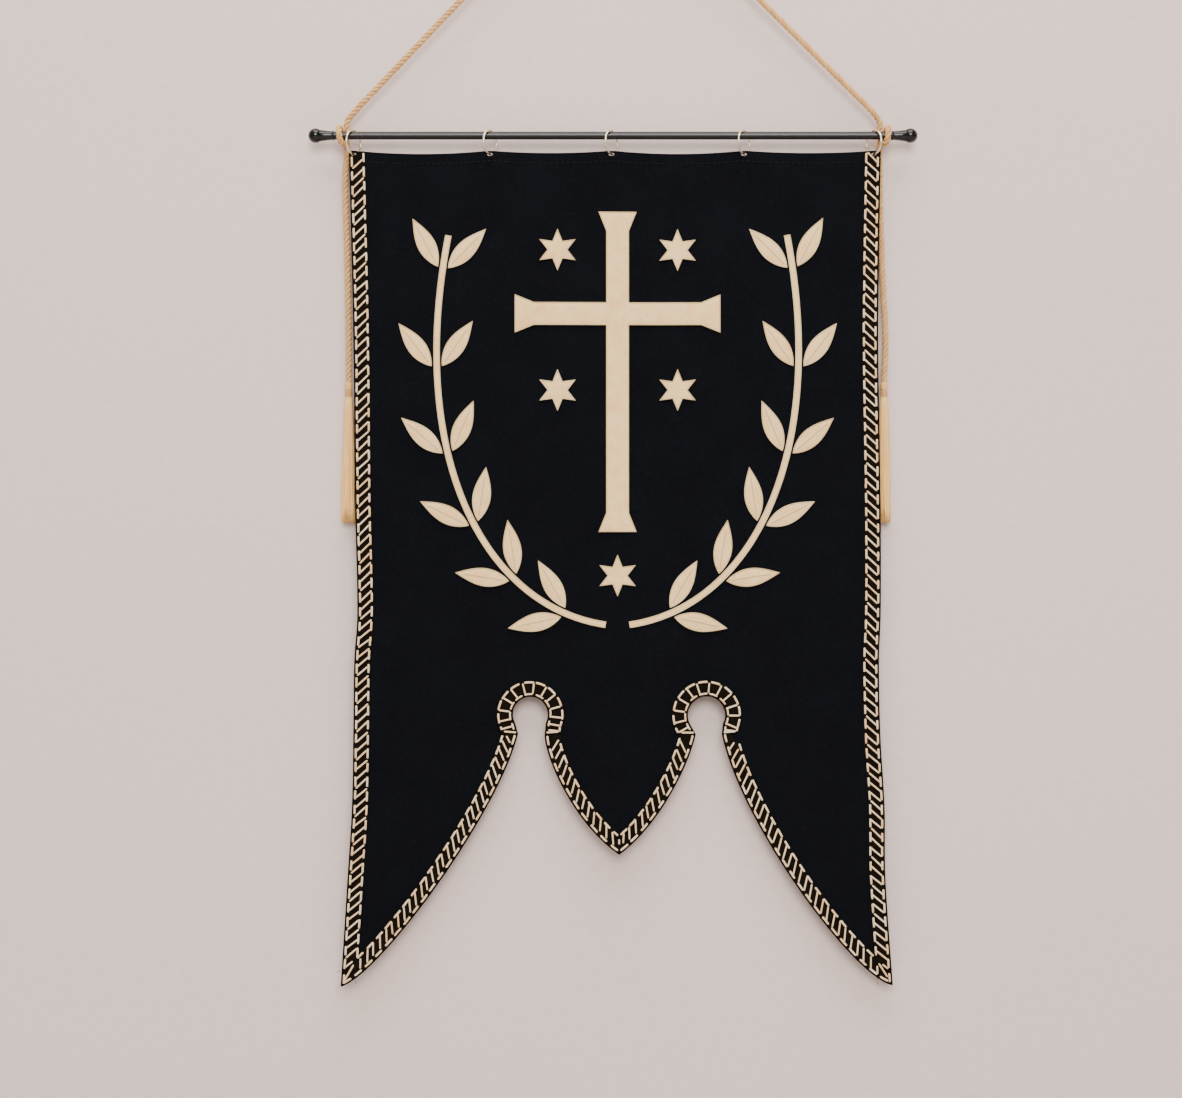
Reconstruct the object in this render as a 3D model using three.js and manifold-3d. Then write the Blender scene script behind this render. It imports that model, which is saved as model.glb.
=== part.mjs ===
// A church banner on a hanging rod. The dark cloth ends in two pointed tails and a pointed centre, parted by
// keyhole notches. Braid edges it, and raised cream applique is sewn to its face. Five brass rings carry it
// on a black rod with ball finials, and one tasselled cord, turned round each end of the rod, holds that up.
// Millimetres, +Z up, the front towards -Y. The origin is the hanging point, under the cord's top bend.
import * as THREE from "three";
import { mergeVertices } from "three/addons/utils/BufferGeometryUtils.js";
import Module from "manifold-3d";

const wasm = await Module();
wasm.setup();

// Clearance between pieces that touch on the real banner.
const GAP = 0.3;

// The rod lies along X. Its ends sit in the finials' sockets.
const ROD = { z: -311.8, diameter: 8.8, left: -299.2, right: 313.1, sides: 20 };
const FINIAL = { length: 29, ball: 16, socket: 12, sides: 20 };
const NECK = { foot: 5.2, top: 5.4, height: 8.7 };
const BALL = { from: -40, turn: 130, steps: 7 };

// Each ring hangs on the rod, turned about the upright by its yaw, and passes through a slot in the hem.
const RING = { diameter: 28.8, wire: 2.4, steps: 20, sides: 6 };
const SLOT = { width: 6.6, above: 1.65, below: 1.8 };
const RINGS = [
  { x: -278.4, yaw: -30 },
  { x: -128.3, yaw: -30 },
  { x: 5.4, yaw: -30 },
  { x: 151.1, yaw: -30 },
  { x: 294.1, yaw: 30 },
];

// How deep and how far the shapes reach that the cloth is cut with.
const CUTTER = { depth: 60, reach: 2000 };

// The cloth hangs under the rod. Its top edge stands a little higher at the rings and sags between them.
const CLOTH = { top: -329.8, rise: 1.4, sag: 3.2, thickness: 2 };
const STEPS = { topSpan: 5, side: 16, bow: 12, arc: 16 };
const MIDDLE = 12;
const BRAID = { width: 17.6, thickness: 1.6, corner: 26.4 };
const APPLIQUE = { thickness: 2 };

// The side edges: how far across they lie at each drop below the top.
const SIDES = [
  { drop: 0, left: -283.4, right: 301.3 },
  { drop: 190, left: -278.8, right: 298.6 },
  { drop: 380, left: -276.6, right: 301.2 },
  { drop: 502, left: -273.8, right: 301.3 },
  { drop: 560, left: -277.2, right: 299.2 },
  { drop: 640, left: -278.2, right: 300.6 },
  { drop: 720, left: -279.7, right: 305.2 },
  { drop: 800, left: -284.6, right: 306.4 },
  { drop: 917, left: -291.8, right: 315 },
];
const CENTRE_POINT = { x: 13.9, drop: 772.6 };

// The keyholes: their round heads, and the necks where the tails and the centre point part.
const KEYHOLES = [
  { x: -83.9, drop: 618.6, radius: 19.3, neckDrop: 640.2, tailNeck: -97.4, centreNeck: -68.2 },
  { x: 109.8, drop: 619.3, radius: 20.6, neckDrop: 640.2, tailNeck: 126.6, centreNeck: 98 },
];

// How far below the level of its middle a head's arc ends, in degrees.
const HEAD_END = 28;

// How far each free edge below a keyhole bows out: two guide points, by share of its length and distance out.
const BOWS = {
  leftTail: [{ along: 0.248, out: 32.5 }, { along: 0.898, out: 28.2 }],
  rightTail: [{ along: 0.283, out: 39.1 }, { along: 0.915, out: 30.1 }],
  leftCentre: [{ along: 0.115, out: 12.6 }, { along: 0.641, out: 25.1 }],
  rightCentre: [{ along: 0.184, out: 10.9 }, { along: 0.656, out: 21 }],
};

// The cloth's soft waves: the hem bellies between rings, folds run down the field and the tails curl.
const WAVE = { hem: 3.2, hemReach: 170, fold: 2.4, foldPitch: 310, foldLean: 900 };
const CURL = { left: -6, right: 4, reach: 290 };
const GRID = { left: -304, right: 328, top: -318, bottom: -1262, columns: 24, rows: 14 };

// The applique, a plain cross between two leafy sprays, placed by its drop below the cloth's top.
const CROSS = { height: 352, arms: 226, bar: 25, flare: 42, topDrop: 66, armDrop: 178 };
const SPRAY = { stem: 7, stations: 6, first: 0.12, last: 0.95 };
const LEAF = { length: 60, width: 20, angle: 36, rootGap: 2.1, fullness: 0.85, sides: 5 };
const SPRAY_PATH = [
  { across: 13, drop: 520 },
  { across: 150, drop: 500 },
  { across: 232, drop: 330 },
  { across: 186, drop: 92 },
];
const STAR = { points: 6, outer: 23, inner: 11 };
const STARS = [
  { across: -66, drop: 108 },
  { across: 66, drop: 108 },
  { across: -66, drop: 262 },
  { across: 66, drop: 262 },
  { across: 0, drop: 466 },
];

// The cord's route beside the rod, outwards from the run that comes down from the hanging point. It passes
// behind the rod, under it, up its front, over it, and down behind its own run to the tassel.
const CORD = { diameter: 7, sides: 8, stepsPerPoint: 2 };
const CROWN = { out: 8.5, drop: 3.54, runShares: [0.05, 0.5, 0.95] };
const HITCHES = [
  { side: -1, runX: -286.9 },
  { side: 1, runX: 302.2 },
];
const HITCH_ROUTE = [
  { out: -12.3, back: 4.5, up: 30.4 },
  { out: -0.8, back: 7.3, up: 16 },
  { out: -0.6, back: 8.7, up: 4.4 },
  { out: 1.3, back: 6.3, up: -6.2 },
  { out: 3.5, back: 0, up: -8.8 },
  { out: 5.4, back: -6.2, up: -6.2 },
  { out: 6.4, back: -8.8, up: 0 },
  { out: 6.9, back: -6.2, up: 6.2 },
  { out: 7.1, back: 1.2, up: 9.1 },
  { out: 7, back: 10.1, up: 8.4 },
  { out: 3.6, back: 15.3, up: 1.5 },
  { out: 0, back: 15.3, up: -9 },
];

// The drops: how far out from the run they hang, by drop below the rod.
const DROPS = [
  { drop: 45, left: 1.9, right: -0.3 },
  { drop: 135, left: -0.6, right: 2 },
  { drop: 225, left: -1.9, right: 6 },
];
const DROP_BACK = 12.8;
const TASSEL = { drop: 269.5, head: 17.6, headWidth: 8, skirt: 138, sides: 14, left: -1.9, right: 4.4 };
// The profile of a tassel's bound head, as shares of its half width and its height.
const HEAD_PROFILE = [
  [0, 0],
  [0.9, 0],
  [1, 0.12],
  [0.94, 0.3],
  [1.04, 0.45],
  [0.96, 0.62],
  [1.02, 0.78],
  [0.8, 0.94],
  [0.55, 1],
  [0, 1],
];
const STRAND = { topSize: 1.1, footSize: 1.9, segments: 3, sides: 3, root: 2.5, sway: 0.25 };
const STRAND_SPREAD = { curve: 0.6, lean: 1.3, uneven: 7 };
const STRAND_RINGS = [
  { count: 1, top: 0, foot: 0 },
  { count: 7, top: 1.4, foot: 3.7 },
  { count: 14, top: 2.7, foot: 7.1 },
];

const MATERIALS = {
  cloth: new THREE.MeshStandardMaterial({ color: 0x14141b, roughness: 0.95, metalness: 0 }),
  braid: new THREE.MeshStandardMaterial({ color: 0xe2cfb4, roughness: 0.8, metalness: 0 }),
  applique: new THREE.MeshStandardMaterial({ color: 0xe6d3bc, roughness: 0.85, metalness: 0 }),
  rod: new THREE.MeshStandardMaterial({ color: 0x0c0b0d, roughness: 0.25, metalness: 0 }),
  brass: new THREE.MeshStandardMaterial({ color: 0xd9c08a, roughness: 0.3, metalness: 1 }),
  cord: new THREE.MeshStandardMaterial({ color: 0xc9a77e, roughness: 0.85, metalness: 0 }),
  tassel: new THREE.MeshStandardMaterial({ color: 0xe4cba5, roughness: 0.8, metalness: 0 }),
};

const banner = new THREE.Group();

// A closed three.js geometry as a solid that can be joined and cut.
function solidOf(geometry) {
  geometry.deleteAttribute("normal");
  geometry.deleteAttribute("uv");
  const merged = mergeVertices(geometry, 1e-4);
  const mesh = new wasm.Mesh({
    numProp: 3,
    vertProperties: merged.attributes.position.array,
    triVerts: new Uint32Array(merged.index.array),
  });
  return new wasm.Manifold(mesh);
}

function geometryOf(solid) {
  const mesh = solid.getMesh();
  const geometry = new THREE.BufferGeometry();
  geometry.setAttribute("position", new THREE.BufferAttribute(mesh.vertProperties, 3));
  geometry.setIndex(new THREE.BufferAttribute(mesh.triVerts, 1));
  geometry.computeVertexNormals();
  return geometry;
}

function add(name, geometry, material) {
  const mesh = new THREE.Mesh(geometry, material);
  mesh.name = name;
  banner.add(mesh);
  return mesh;
}

// An upright prism through the cloth, from an outline of points across and up.
function prism(outline) {
  const { depth } = CUTTER;
  const geometry = new THREE.ExtrudeGeometry(new THREE.Shape(outline), { depth, bevelEnabled: false });
  geometry.rotateX(Math.PI / 2);
  geometry.translate(0, depth / 2, 0);
  return solidOf(geometry);
}

// A turned solid round the upright, from its profile of radius and height.
function turned(profile, sides) {
  const geometry = new THREE.LatheGeometry(profile.map(([radius, z]) => new THREE.Vector2(radius, z)), sides);
  geometry.rotateX(Math.PI / 2);
  return solidOf(geometry);
}

const at = (x, drop) => new THREE.Vector2(x, CLOTH.top - drop);

// Which ring interval a place across the cloth lies in, as a running number from 0 at the first ring.
function ringPlace(x) {
  const last = RINGS.length - 2;
  let i = 0;
  while (i < last && x > RINGS[i + 1].x) i += 1;
  return i + (x - RINGS[i].x) / (RINGS[i + 1].x - RINGS[i].x);
}

// How far the cloth stands back (+) or forward (-) from the plane under the rod.
function wave(x, z) {
  const drop = Math.max(CLOTH.top - z, 0);
  const hem = WAVE.hem * Math.sin(Math.PI * ringPlace(x)) * Math.exp(-drop / WAVE.hemReach);
  const grown = 1 - Math.exp(-drop / WAVE.hemReach);
  const turn = (2 * Math.PI * (x - MIDDLE)) / WAVE.foldPitch + (2 * Math.PI * drop) / WAVE.foldLean;
  const fold = WAVE.fold * grown * Math.sin(turn);
  const tail = Math.max(drop - KEYHOLES[0].neckDrop, 0) / (SIDES.at(-1).drop - KEYHOLES[0].neckDrop);
  const curl = x < MIDDLE ? CURL.left : CURL.right;
  return hem + fold + curl * tail ** 2 * Math.min(Math.abs(x - MIDDLE) / CURL.reach, 1);
}

// A closed sheet that follows the waves between two distances from the cloth's middle.
function wavySheet(front, back) {
  const { left, right, top, bottom, columns, rows } = GRID;
  const across = columns + 1;
  const layer = across * (rows + 1);
  const positions = [];
  const indices = [];
  for (const offset of [front, back]) {
    for (let j = 0; j <= rows; j += 1) {
      const z = top + ((bottom - top) * j) / rows;
      for (let i = 0; i <= columns; i += 1) {
        const x = left + ((right - left) * i) / columns;
        positions.push(x, wave(x, z) + offset, z);
      }
    }
  }
  const quad = (a, b, c, d) => indices.push(a, b, c, a, c, d);
  for (let j = 0; j < rows; j += 1) {
    for (let i = 0; i < columns; i += 1) {
      const a = j * across + i;
      const below = a + across;
      quad(a, below, below + 1, a + 1);
      quad(layer + a, layer + a + 1, layer + below + 1, layer + below);
    }
    const start = j * across;
    const end = start + columns;
    quad(layer + start, layer + start + across, start + across, start);
    quad(end, end + across, layer + end + across, layer + end);
  }
  for (let i = 0; i < columns; i += 1) {
    const foot = rows * across + i;
    quad(i + 1, layer + i + 1, layer + i, i);
    quad(foot, layer + foot, layer + foot + 1, foot + 1);
  }
  const geometry = new THREE.BufferGeometry();
  geometry.setAttribute("position", new THREE.Float32BufferAttribute(positions, 3));
  geometry.setIndex(indices);
  return solidOf(geometry);
}

// The top edge's height: it hangs from the rings and sags between them.
function topEdge(x) {
  const place = Math.min(Math.max(ringPlace(x), 0), RINGS.length - 1);
  const part = place - Math.floor(place);
  return CLOTH.top + CLOTH.rise - CLOTH.sag * 4 * part * (1 - part);
}

function sideEdge(side) {
  const points = SIDES.map((row) => at(row[side], row.drop));
  return new THREE.SplineCurve(points).getPoints(STEPS.side);
}

// An edge that bows out to its right, seen along its way from start to end.
function bowedEdge(start, end, bow) {
  const way = end.clone().sub(start);
  const out = new THREE.Vector2(way.y, -way.x).normalize();
  const guides = bow.map((g) => start.clone().addScaledVector(way, g.along).addScaledVector(out, g.out));
  return new THREE.CubicBezierCurve(start, guides[0], guides[1], end).getPoints(STEPS.bow);
}

// A keyhole's rim, from its left neck corner over the round head to its right one.
function keyholeEdge(hole) {
  const necks = [hole.tailNeck, hole.centreNeck].sort((a, b) => a - b);
  const points = [at(necks[0], hole.neckDrop)];
  const from = 180 + HEAD_END;
  for (let i = 0; i <= STEPS.arc; i += 1) {
    const turn = THREE.MathUtils.degToRad(from - ((180 + 2 * HEAD_END) * i) / STEPS.arc);
    points.push(at(hole.x + hole.radius * Math.cos(turn), hole.drop - hole.radius * Math.sin(turn)));
  }
  points.push(at(necks[1], hole.neckDrop));
  return points;
}

// The same bow for an edge that is drawn from its far end.
const fromFarEnd = (bow) => bow.map((g) => ({ along: 1 - g.along, out: g.out })).reverse();

// The braided edges in order, down the left side, along the foot and up the right side.
function braidedEdges() {
  const [left, right] = KEYHOLES;
  const foot = SIDES.at(-1);
  const leftTip = at(foot.left, foot.drop);
  const rightTip = at(foot.right, foot.drop);
  const centreTip = at(CENTRE_POINT.x, CENTRE_POINT.drop);
  const tailNeck = (hole) => at(hole.tailNeck, hole.neckDrop);
  const centreNeck = (hole) => at(hole.centreNeck, hole.neckDrop);
  return [
    { name: "left_side", points: sideEdge("left") },
    { name: "left_tail", points: bowedEdge(leftTip, tailNeck(left), fromFarEnd(BOWS.leftTail)) },
    { name: "left_keyhole", points: keyholeEdge(left) },
    { name: "centre_left", points: bowedEdge(centreNeck(left), centreTip, BOWS.leftCentre) },
    { name: "centre_right", points: bowedEdge(centreTip, centreNeck(right), fromFarEnd(BOWS.rightCentre)) },
    { name: "right_keyhole", points: keyholeEdge(right) },
    { name: "right_tail", points: bowedEdge(tailNeck(right), rightTip, BOWS.rightTail) },
    { name: "right_side", points: sideEdge("right").reverse() },
  ];
}

const heading = (from, to) => to.clone().sub(from).normalize();
const leftOf = (way) => new THREE.Vector2(-way.y, way.x);

// The line at a distance inside a chain of points that keeps the cloth on its left.
function insideLine(chain, width) {
  return chain.map((point, i) => {
    const before = heading(chain[Math.max(i - 1, 0)], chain[Math.max(i, 1)]);
    const after = heading(chain[Math.min(i, chain.length - 2)], chain[Math.min(i + 1, chain.length - 1)]);
    const mitre = leftOf(before).add(leftOf(after)).normalize();
    return point.clone().addScaledVector(mitre, width / mitre.dot(leftOf(before)));
  });
}

// The first point of an edge that lies clear of its corner.
const beyondCorner = (points) => points.find((p) => p.distanceTo(points[0]) > BRAID.corner);

// All that lies on one edge's side of the mitre between it and its neighbour, half a gap clear of it.
function mitreSide(edge, neighbour) {
  const { reach } = CUTTER;
  const corner = edge[0];
  const own = heading(corner, beyondCorner(edge));
  const mitre = own.clone().add(heading(corner, beyondCorner(neighbour))).normalize();
  const across = leftOf(mitre).multiplyScalar(Math.sign(leftOf(mitre).dot(own)));
  const foot = corner.clone().addScaledVector(across, GAP / 2);
  const near = [foot.clone().addScaledVector(mitre, -reach), foot.clone().addScaledVector(mitre, reach)];
  const far = near.map((p) => p.clone().addScaledVector(across, reach)).reverse();
  return prism([...near, ...far]);
}

// All that lies below the top edge.
function underTop() {
  const { left, right, bottom, columns } = GRID;
  const line = [];
  for (let i = 0; i <= 4 * columns; i += 1) {
    const x = left + ((right - left) * i) / (4 * columns);
    line.push(new THREE.Vector2(x, topEdge(x) - GAP));
  }
  return prism([...line, new THREE.Vector2(right, bottom), new THREE.Vector2(left, bottom)]);
}

// The braid's lengths as upright prisms, mitred where two of them meet.
function braidPrisms(edges) {
  return edges.map(({ name, points }, i) => {
    let strip = prism([...points, ...insideLine(points, BRAID.width).reverse()]);
    const before = edges[i - 1];
    const after = edges[i + 1];
    strip = strip.intersect(before ? mitreSide(points, [...before.points].reverse()) : underTop());
    strip = strip.intersect(after ? mitreSide([...points].reverse(), after.points) : underTop());
    return { name, strip };
  });
}

// The cloth's outline: its braided edges, closed by the top edge from right to left.
function clothOutline(edges) {
  const outline = edges.flatMap((edge, i) => (i ? edge.points.slice(1) : edge.points));
  const right = outline.at(-1).x;
  const left = outline[0].x;
  const steps = STEPS.topSpan * (RINGS.length - 1) + 2;
  const top = [];
  for (let i = 0; i <= steps; i += 1) {
    const x = right + ((left - right) * i) / steps;
    top.push(new THREE.Vector2(x, topEdge(x)));
  }
  return [...outline.slice(1, -1), ...top];
}

const ringCentre = ROD.z + ROD.diameter / 2 + GAP + RING.wire - RING.diameter / 2;
const ringFoot = ringCentre - (RING.diameter - RING.wire) / 2;

function slots() {
  const cuts = RINGS.map((ring) => {
    const box = new THREE.BoxGeometry(SLOT.width, CUTTER.depth, SLOT.above + SLOT.below);
    box.translate(ring.x, 0, ringFoot + (SLOT.above - SLOT.below) / 2);
    return solidOf(box);
  });
  return cuts.reduce((all, cut) => all.add(cut));
}

function addCloth() {
  const edges = braidedEdges();
  const half = CLOTH.thickness / 2;
  const cuts = slots();
  const cloth = wavySheet(-half, half).intersect(prism(clothOutline(edges))).subtract(cuts);
  add("cloth", geometryOf(cloth), MATERIALS.cloth);
  const face = -half - GAP;
  const layer = wavySheet(face - BRAID.thickness, face);
  for (const { name, strip } of braidPrisms(edges)) {
    add("braid_" + name, geometryOf(layer.intersect(strip).subtract(cuts)), MATERIALS.braid);
  }
}

// Outlines of the applique, in the plane across and up.
function crossOutline() {
  const { height, arms, bar, flare, topDrop, armDrop } = CROSS;
  const b = bar / 2;
  const f = flare / 2;
  const a = arms / 2;
  const c = armDrop - topDrop;
  const right = [
    [f, 0],
    [b, f],
    [b, c - b],
    [a - f, c - b],
    [a, c - f],
    [a, c + f],
    [a - f, c + b],
    [b, c + b],
    [b, height - f],
    [f, height],
  ];
  const left = right.map(([x, drop]) => [-x, drop]).reverse();
  return [...right, ...left].map(([x, drop]) => at(MIDDLE + x, topDrop + drop));
}

function starOutline(star) {
  const corners = [];
  for (let i = 0; i < 2 * STAR.points; i += 1) {
    const radius = i % 2 ? STAR.inner : STAR.outer;
    const turn = (Math.PI * i) / STAR.points;
    corners.push(at(MIDDLE + star.across + radius * Math.sin(turn), star.drop - radius * Math.cos(turn)));
  }
  return corners;
}

function leafOutline(root, angle) {
  const way = new THREE.Vector2(Math.cos(angle), Math.sin(angle));
  const side = leftOf(way);
  const edge = (half) => {
    const points = [];
    for (let i = 0; i < LEAF.sides; i += 1) {
      const along = i / LEAF.sides;
      const out = (half * LEAF.width * Math.sin(Math.PI * along ** LEAF.fullness)) / 2;
      points.push(root.clone().addScaledVector(way, along * LEAF.length).addScaledVector(side, out));
    }
    return points;
  };
  const tip = root.clone().addScaledVector(way, LEAF.length);
  return [...edge(-1), tip, ...edge(1).slice(1).reverse()];
}

function sprayOutlines(side) {
  const path = SPRAY_PATH.map((row) => at(MIDDLE + side * row.across, row.drop));
  const curve = new THREE.CubicBezierCurve(...path);
  const line = curve.getPoints(STEPS.bow);
  const half = SPRAY.stem / 2;
  const outlines = [[...insideLine(line, -half), ...insideLine(line, half).reverse()]];
  for (let i = 0; i < SPRAY.stations; i += 1) {
    const t = SPRAY.first + ((SPRAY.last - SPRAY.first) * i) / (SPRAY.stations - 1);
    const way = curve.getTangent(t);
    for (const hand of [-1, 1]) {
      const root = curve.getPoint(t).addScaledVector(leftOf(way), hand * (half + LEAF.rootGap));
      const angle = way.angle() + hand * THREE.MathUtils.degToRad(LEAF.angle);
      outlines.push(leafOutline(root, angle));
    }
  }
  return outlines;
}

function addApplique() {
  const face = -CLOTH.thickness / 2 - GAP;
  const layer = wavySheet(face - APPLIQUE.thickness, face);
  const sew = (name, outline) => add(name, geometryOf(layer.intersect(prism(outline))), MATERIALS.applique);
  sew("applique_cross", crossOutline());
  STARS.forEach((star, i) => sew("applique_star_" + (i + 1), starOutline(star)));
  for (const hand of ["left", "right"]) {
    sprayOutlines(hand === "left" ? -1 : 1).forEach((outline, i) => {
      sew(i ? "applique_" + hand + "_leaf_" + i : "applique_" + hand + "_stem", outline);
    });
  }
}

function addRod() {
  const length = ROD.right - ROD.left + 2 * (FINIAL.socket - GAP);
  const rod = new THREE.CylinderGeometry(ROD.diameter / 2, ROD.diameter / 2, length, ROD.sides);
  rod.rotateZ(Math.PI / 2);
  add("rod", rod, MATERIALS.rod).position.set((ROD.left + ROD.right) / 2, 0, ROD.z);
}

// A finial points up from its mouth, which takes the rod's end, to its ball.
function finial() {
  const { length, ball, socket, sides } = FINIAL;
  const profile = [[0, 0], [NECK.foot, 0], [NECK.top, NECK.height]];
  const centre = length - ball / 2;
  for (let i = 0; i < BALL.steps; i += 1) {
    const turn = THREE.MathUtils.degToRad(BALL.from + (BALL.turn * i) / BALL.steps);
    profile.push([(ball / 2) * Math.cos(turn), centre + (ball / 2) * Math.sin(turn)]);
  }
  profile.push([0, length]);
  const bore = ROD.diameter / 2 + GAP;
  const hole = turned([[0, -1], [bore, -1], [bore, socket], [0, socket]], sides);
  return geometryOf(turned(profile, sides).subtract(hole));
}

function addFinials() {
  for (const hand of ["left", "right"]) {
    const mesh = add("finial_" + hand, finial(), MATERIALS.rod);
    mesh.position.set(ROD[hand], 0, ROD.z);
    mesh.rotation.y = hand === "left" ? -Math.PI / 2 : Math.PI / 2;
  }
}

function addRings() {
  const radius = (RING.diameter - RING.wire) / 2;
  RINGS.forEach((ring, i) => {
    const geometry = new THREE.TorusGeometry(radius, RING.wire / 2, RING.sides, RING.steps);
    const mesh = add("ring_" + (i + 1), geometry, MATERIALS.brass);
    mesh.position.set(ring.x, 0, ringCentre);
    mesh.rotation.set(0, Math.PI / 2, THREE.MathUtils.degToRad(ring.yaw), "ZYX");
  });
}

// A curve whose steps are spread over its points, so that close points give short steps.
class PointSpacedCurve extends THREE.CatmullRomCurve3 {
  getUtoTmapping(u) {
    return u;
  }
}

const tasselX = (hitch) => hitch.runX + hitch.side * (hitch.side < 0 ? TASSEL.left : TASSEL.right);

// Half of the cord, from beside the hanging point down to the top of a tassel.
function cordHalf(hitch) {
  const { side, runX } = hitch;
  const points = HITCH_ROUTE.map((p) => new THREE.Vector3(runX + side * p.out, p.back, ROD.z + p.up));
  for (const row of DROPS) {
    const out = side < 0 ? row.left : row.right;
    points.push(new THREE.Vector3(runX + side * out, DROP_BACK, ROD.z - row.drop));
  }
  points.push(new THREE.Vector3(tasselX(hitch), DROP_BACK, ROD.z - TASSEL.drop));
  const crown = new THREE.Vector3(side * CROWN.out, 0, -CROWN.drop);
  const run = CROWN.runShares.map((share) => crown.clone().lerp(points[0], share));
  return [crown, ...run, ...points];
}

function addCord() {
  const [left, right] = HITCHES.map(cordHalf);
  const crown = new THREE.Vector3(0, 0, CORD.diameter / 2);
  const curve = new PointSpacedCurve([...left.reverse(), crown, ...right]);
  const section = new THREE.Shape();
  section.absarc(0, 0, CORD.diameter / 2, 0, 2 * Math.PI);
  const geometry = new THREE.ExtrudeGeometry(section, {
    steps: CORD.stepsPerPoint * (curve.points.length - 1),
    curveSegments: CORD.sides / 2,
    extrudePath: curve,
  });
  add("hanging_cord", geometryOf(solidOf(geometry)), MATERIALS.cord);
}

// A three-sided strand from the tassel's head to its foot, swaying a little.
function strand(turn, ring, lean) {
  const { topSize, footSize, segments, sides, root, sway } = STRAND;
  const { curve, uneven } = STRAND_SPREAD;
  const length = TASSEL.skirt + root - Math.sin(lean * uneven) - 1;
  const rings = [];
  for (let i = 0; i <= segments; i += 1) {
    const t = i / segments;
    const away = ring.top + (ring.foot - ring.top) * t ** curve;
    const size = (topSize + (footSize - topSize) * t) / Math.sqrt(3);
    const bend = turn + (sway * Math.sin(Math.PI * t + lean)) / Math.max(away, 1);
    for (let k = 0; k < sides; k += 1) {
      const corner = turn + (2 * Math.PI * k) / sides;
      const x = away * Math.cos(bend) + size * Math.cos(corner);
      const y = away * Math.sin(bend) + size * Math.sin(corner);
      rings.push(x, y, root - length * t);
    }
  }
  const foot = sides * segments;
  const indices = [0, 1, 2, foot, foot + 2, foot + 1];
  for (let i = 0; i < segments; i += 1) {
    for (let k = 0; k < sides; k += 1) {
      const a = sides * i + k;
      const b = sides * i + ((k + 1) % sides);
      indices.push(a, a + sides, b, b, a + sides, b + sides);
    }
  }
  const geometry = new THREE.BufferGeometry();
  geometry.setAttribute("position", new THREE.Float32BufferAttribute(rings, 3));
  geometry.setIndex(indices);
  return solidOf(geometry);
}

// A tassel hangs from its bound head, with the head's foot at the height 0.
function tassel() {
  const { head, headWidth, sides } = TASSEL;
  const profile = HEAD_PROFILE.map(([out, up]) => [(out * headWidth) / 2, up * head]);
  let whole = turned(profile, sides);
  for (const ring of STRAND_RINGS) {
    for (let i = 0; i < ring.count; i += 1) {
      const turn = (2 * Math.PI * i) / ring.count;
      whole = whole.add(strand(turn, ring, i * STRAND_SPREAD.lean));
    }
  }
  return geometryOf(whole);
}

function addTassels() {
  for (const hitch of HITCHES) {
    const mesh = add(hitch.side < 0 ? "tassel_left" : "tassel_right", tassel(), MATERIALS.tassel);
    mesh.position.set(tasselX(hitch), DROP_BACK, ROD.z - TASSEL.drop - GAP - TASSEL.head);
  }
}

addCloth();
addApplique();
addRod();
addFinials();
addRings();
addCord();
addTassels();

export default banner;
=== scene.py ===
import math
import random

import bmesh
import bpy
import numpy as np
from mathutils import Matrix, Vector, kdtree
from mathutils.geometry import delaunay_2d_cdt


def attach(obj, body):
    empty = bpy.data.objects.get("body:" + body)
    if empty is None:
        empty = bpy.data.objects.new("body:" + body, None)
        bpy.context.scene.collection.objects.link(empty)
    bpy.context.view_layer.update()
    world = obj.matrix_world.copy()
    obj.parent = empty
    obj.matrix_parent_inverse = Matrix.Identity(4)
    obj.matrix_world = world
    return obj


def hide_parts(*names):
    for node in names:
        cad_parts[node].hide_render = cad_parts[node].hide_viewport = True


bl_info = {
    "name": "Church Banner",
    "version": (1, 0, 0),
    "blender": (4, 5, 0),
    "location": "3D View > Sidebar > Banner",
    "description": "Dresses a church banner: felt, braid, applique, rings, rod, cord and tassels",
    "category": "Object",
}

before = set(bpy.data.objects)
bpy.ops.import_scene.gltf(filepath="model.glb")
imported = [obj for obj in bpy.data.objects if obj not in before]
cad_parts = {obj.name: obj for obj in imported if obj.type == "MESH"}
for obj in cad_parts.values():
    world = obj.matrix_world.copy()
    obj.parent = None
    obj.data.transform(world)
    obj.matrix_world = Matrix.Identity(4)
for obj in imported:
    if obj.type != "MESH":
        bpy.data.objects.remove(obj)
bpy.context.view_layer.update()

# Lengths in this script are millimetres until a mesh is made.
MM = 0.001
GAP = 0.3

# The photograph's frame: its size in pixels, its scale, and where its middle lies in the part's frame.
PHOTO_WIDTH = 1182
PHOTO_SCALE = 1.1
PHOTO_MIDDLE = (-17.2, -766.5)
CAMERA_DISTANCE = 2600.0

ROD = {"z": -311.8, "diameter": 8.8, "left": -299.2, "right": 313.1}
FINIAL = {"length": 29.0, "ball": 16.0, "neck": 10.4, "socket": 12.0}
RING = {"diameter": 28.8, "wire": 2.4}
RINGS = [(-278.4, -30), (-128.3, -30), (5.4, -30), (151.1, -30), (294.1, 30)]
RING_CENTRE = ROD["z"] + ROD["diameter"] / 2 + GAP + RING["wire"] - RING["diameter"] / 2
RING_FOOT = RING_CENTRE - (RING["diameter"] - RING["wire"]) / 2

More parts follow.
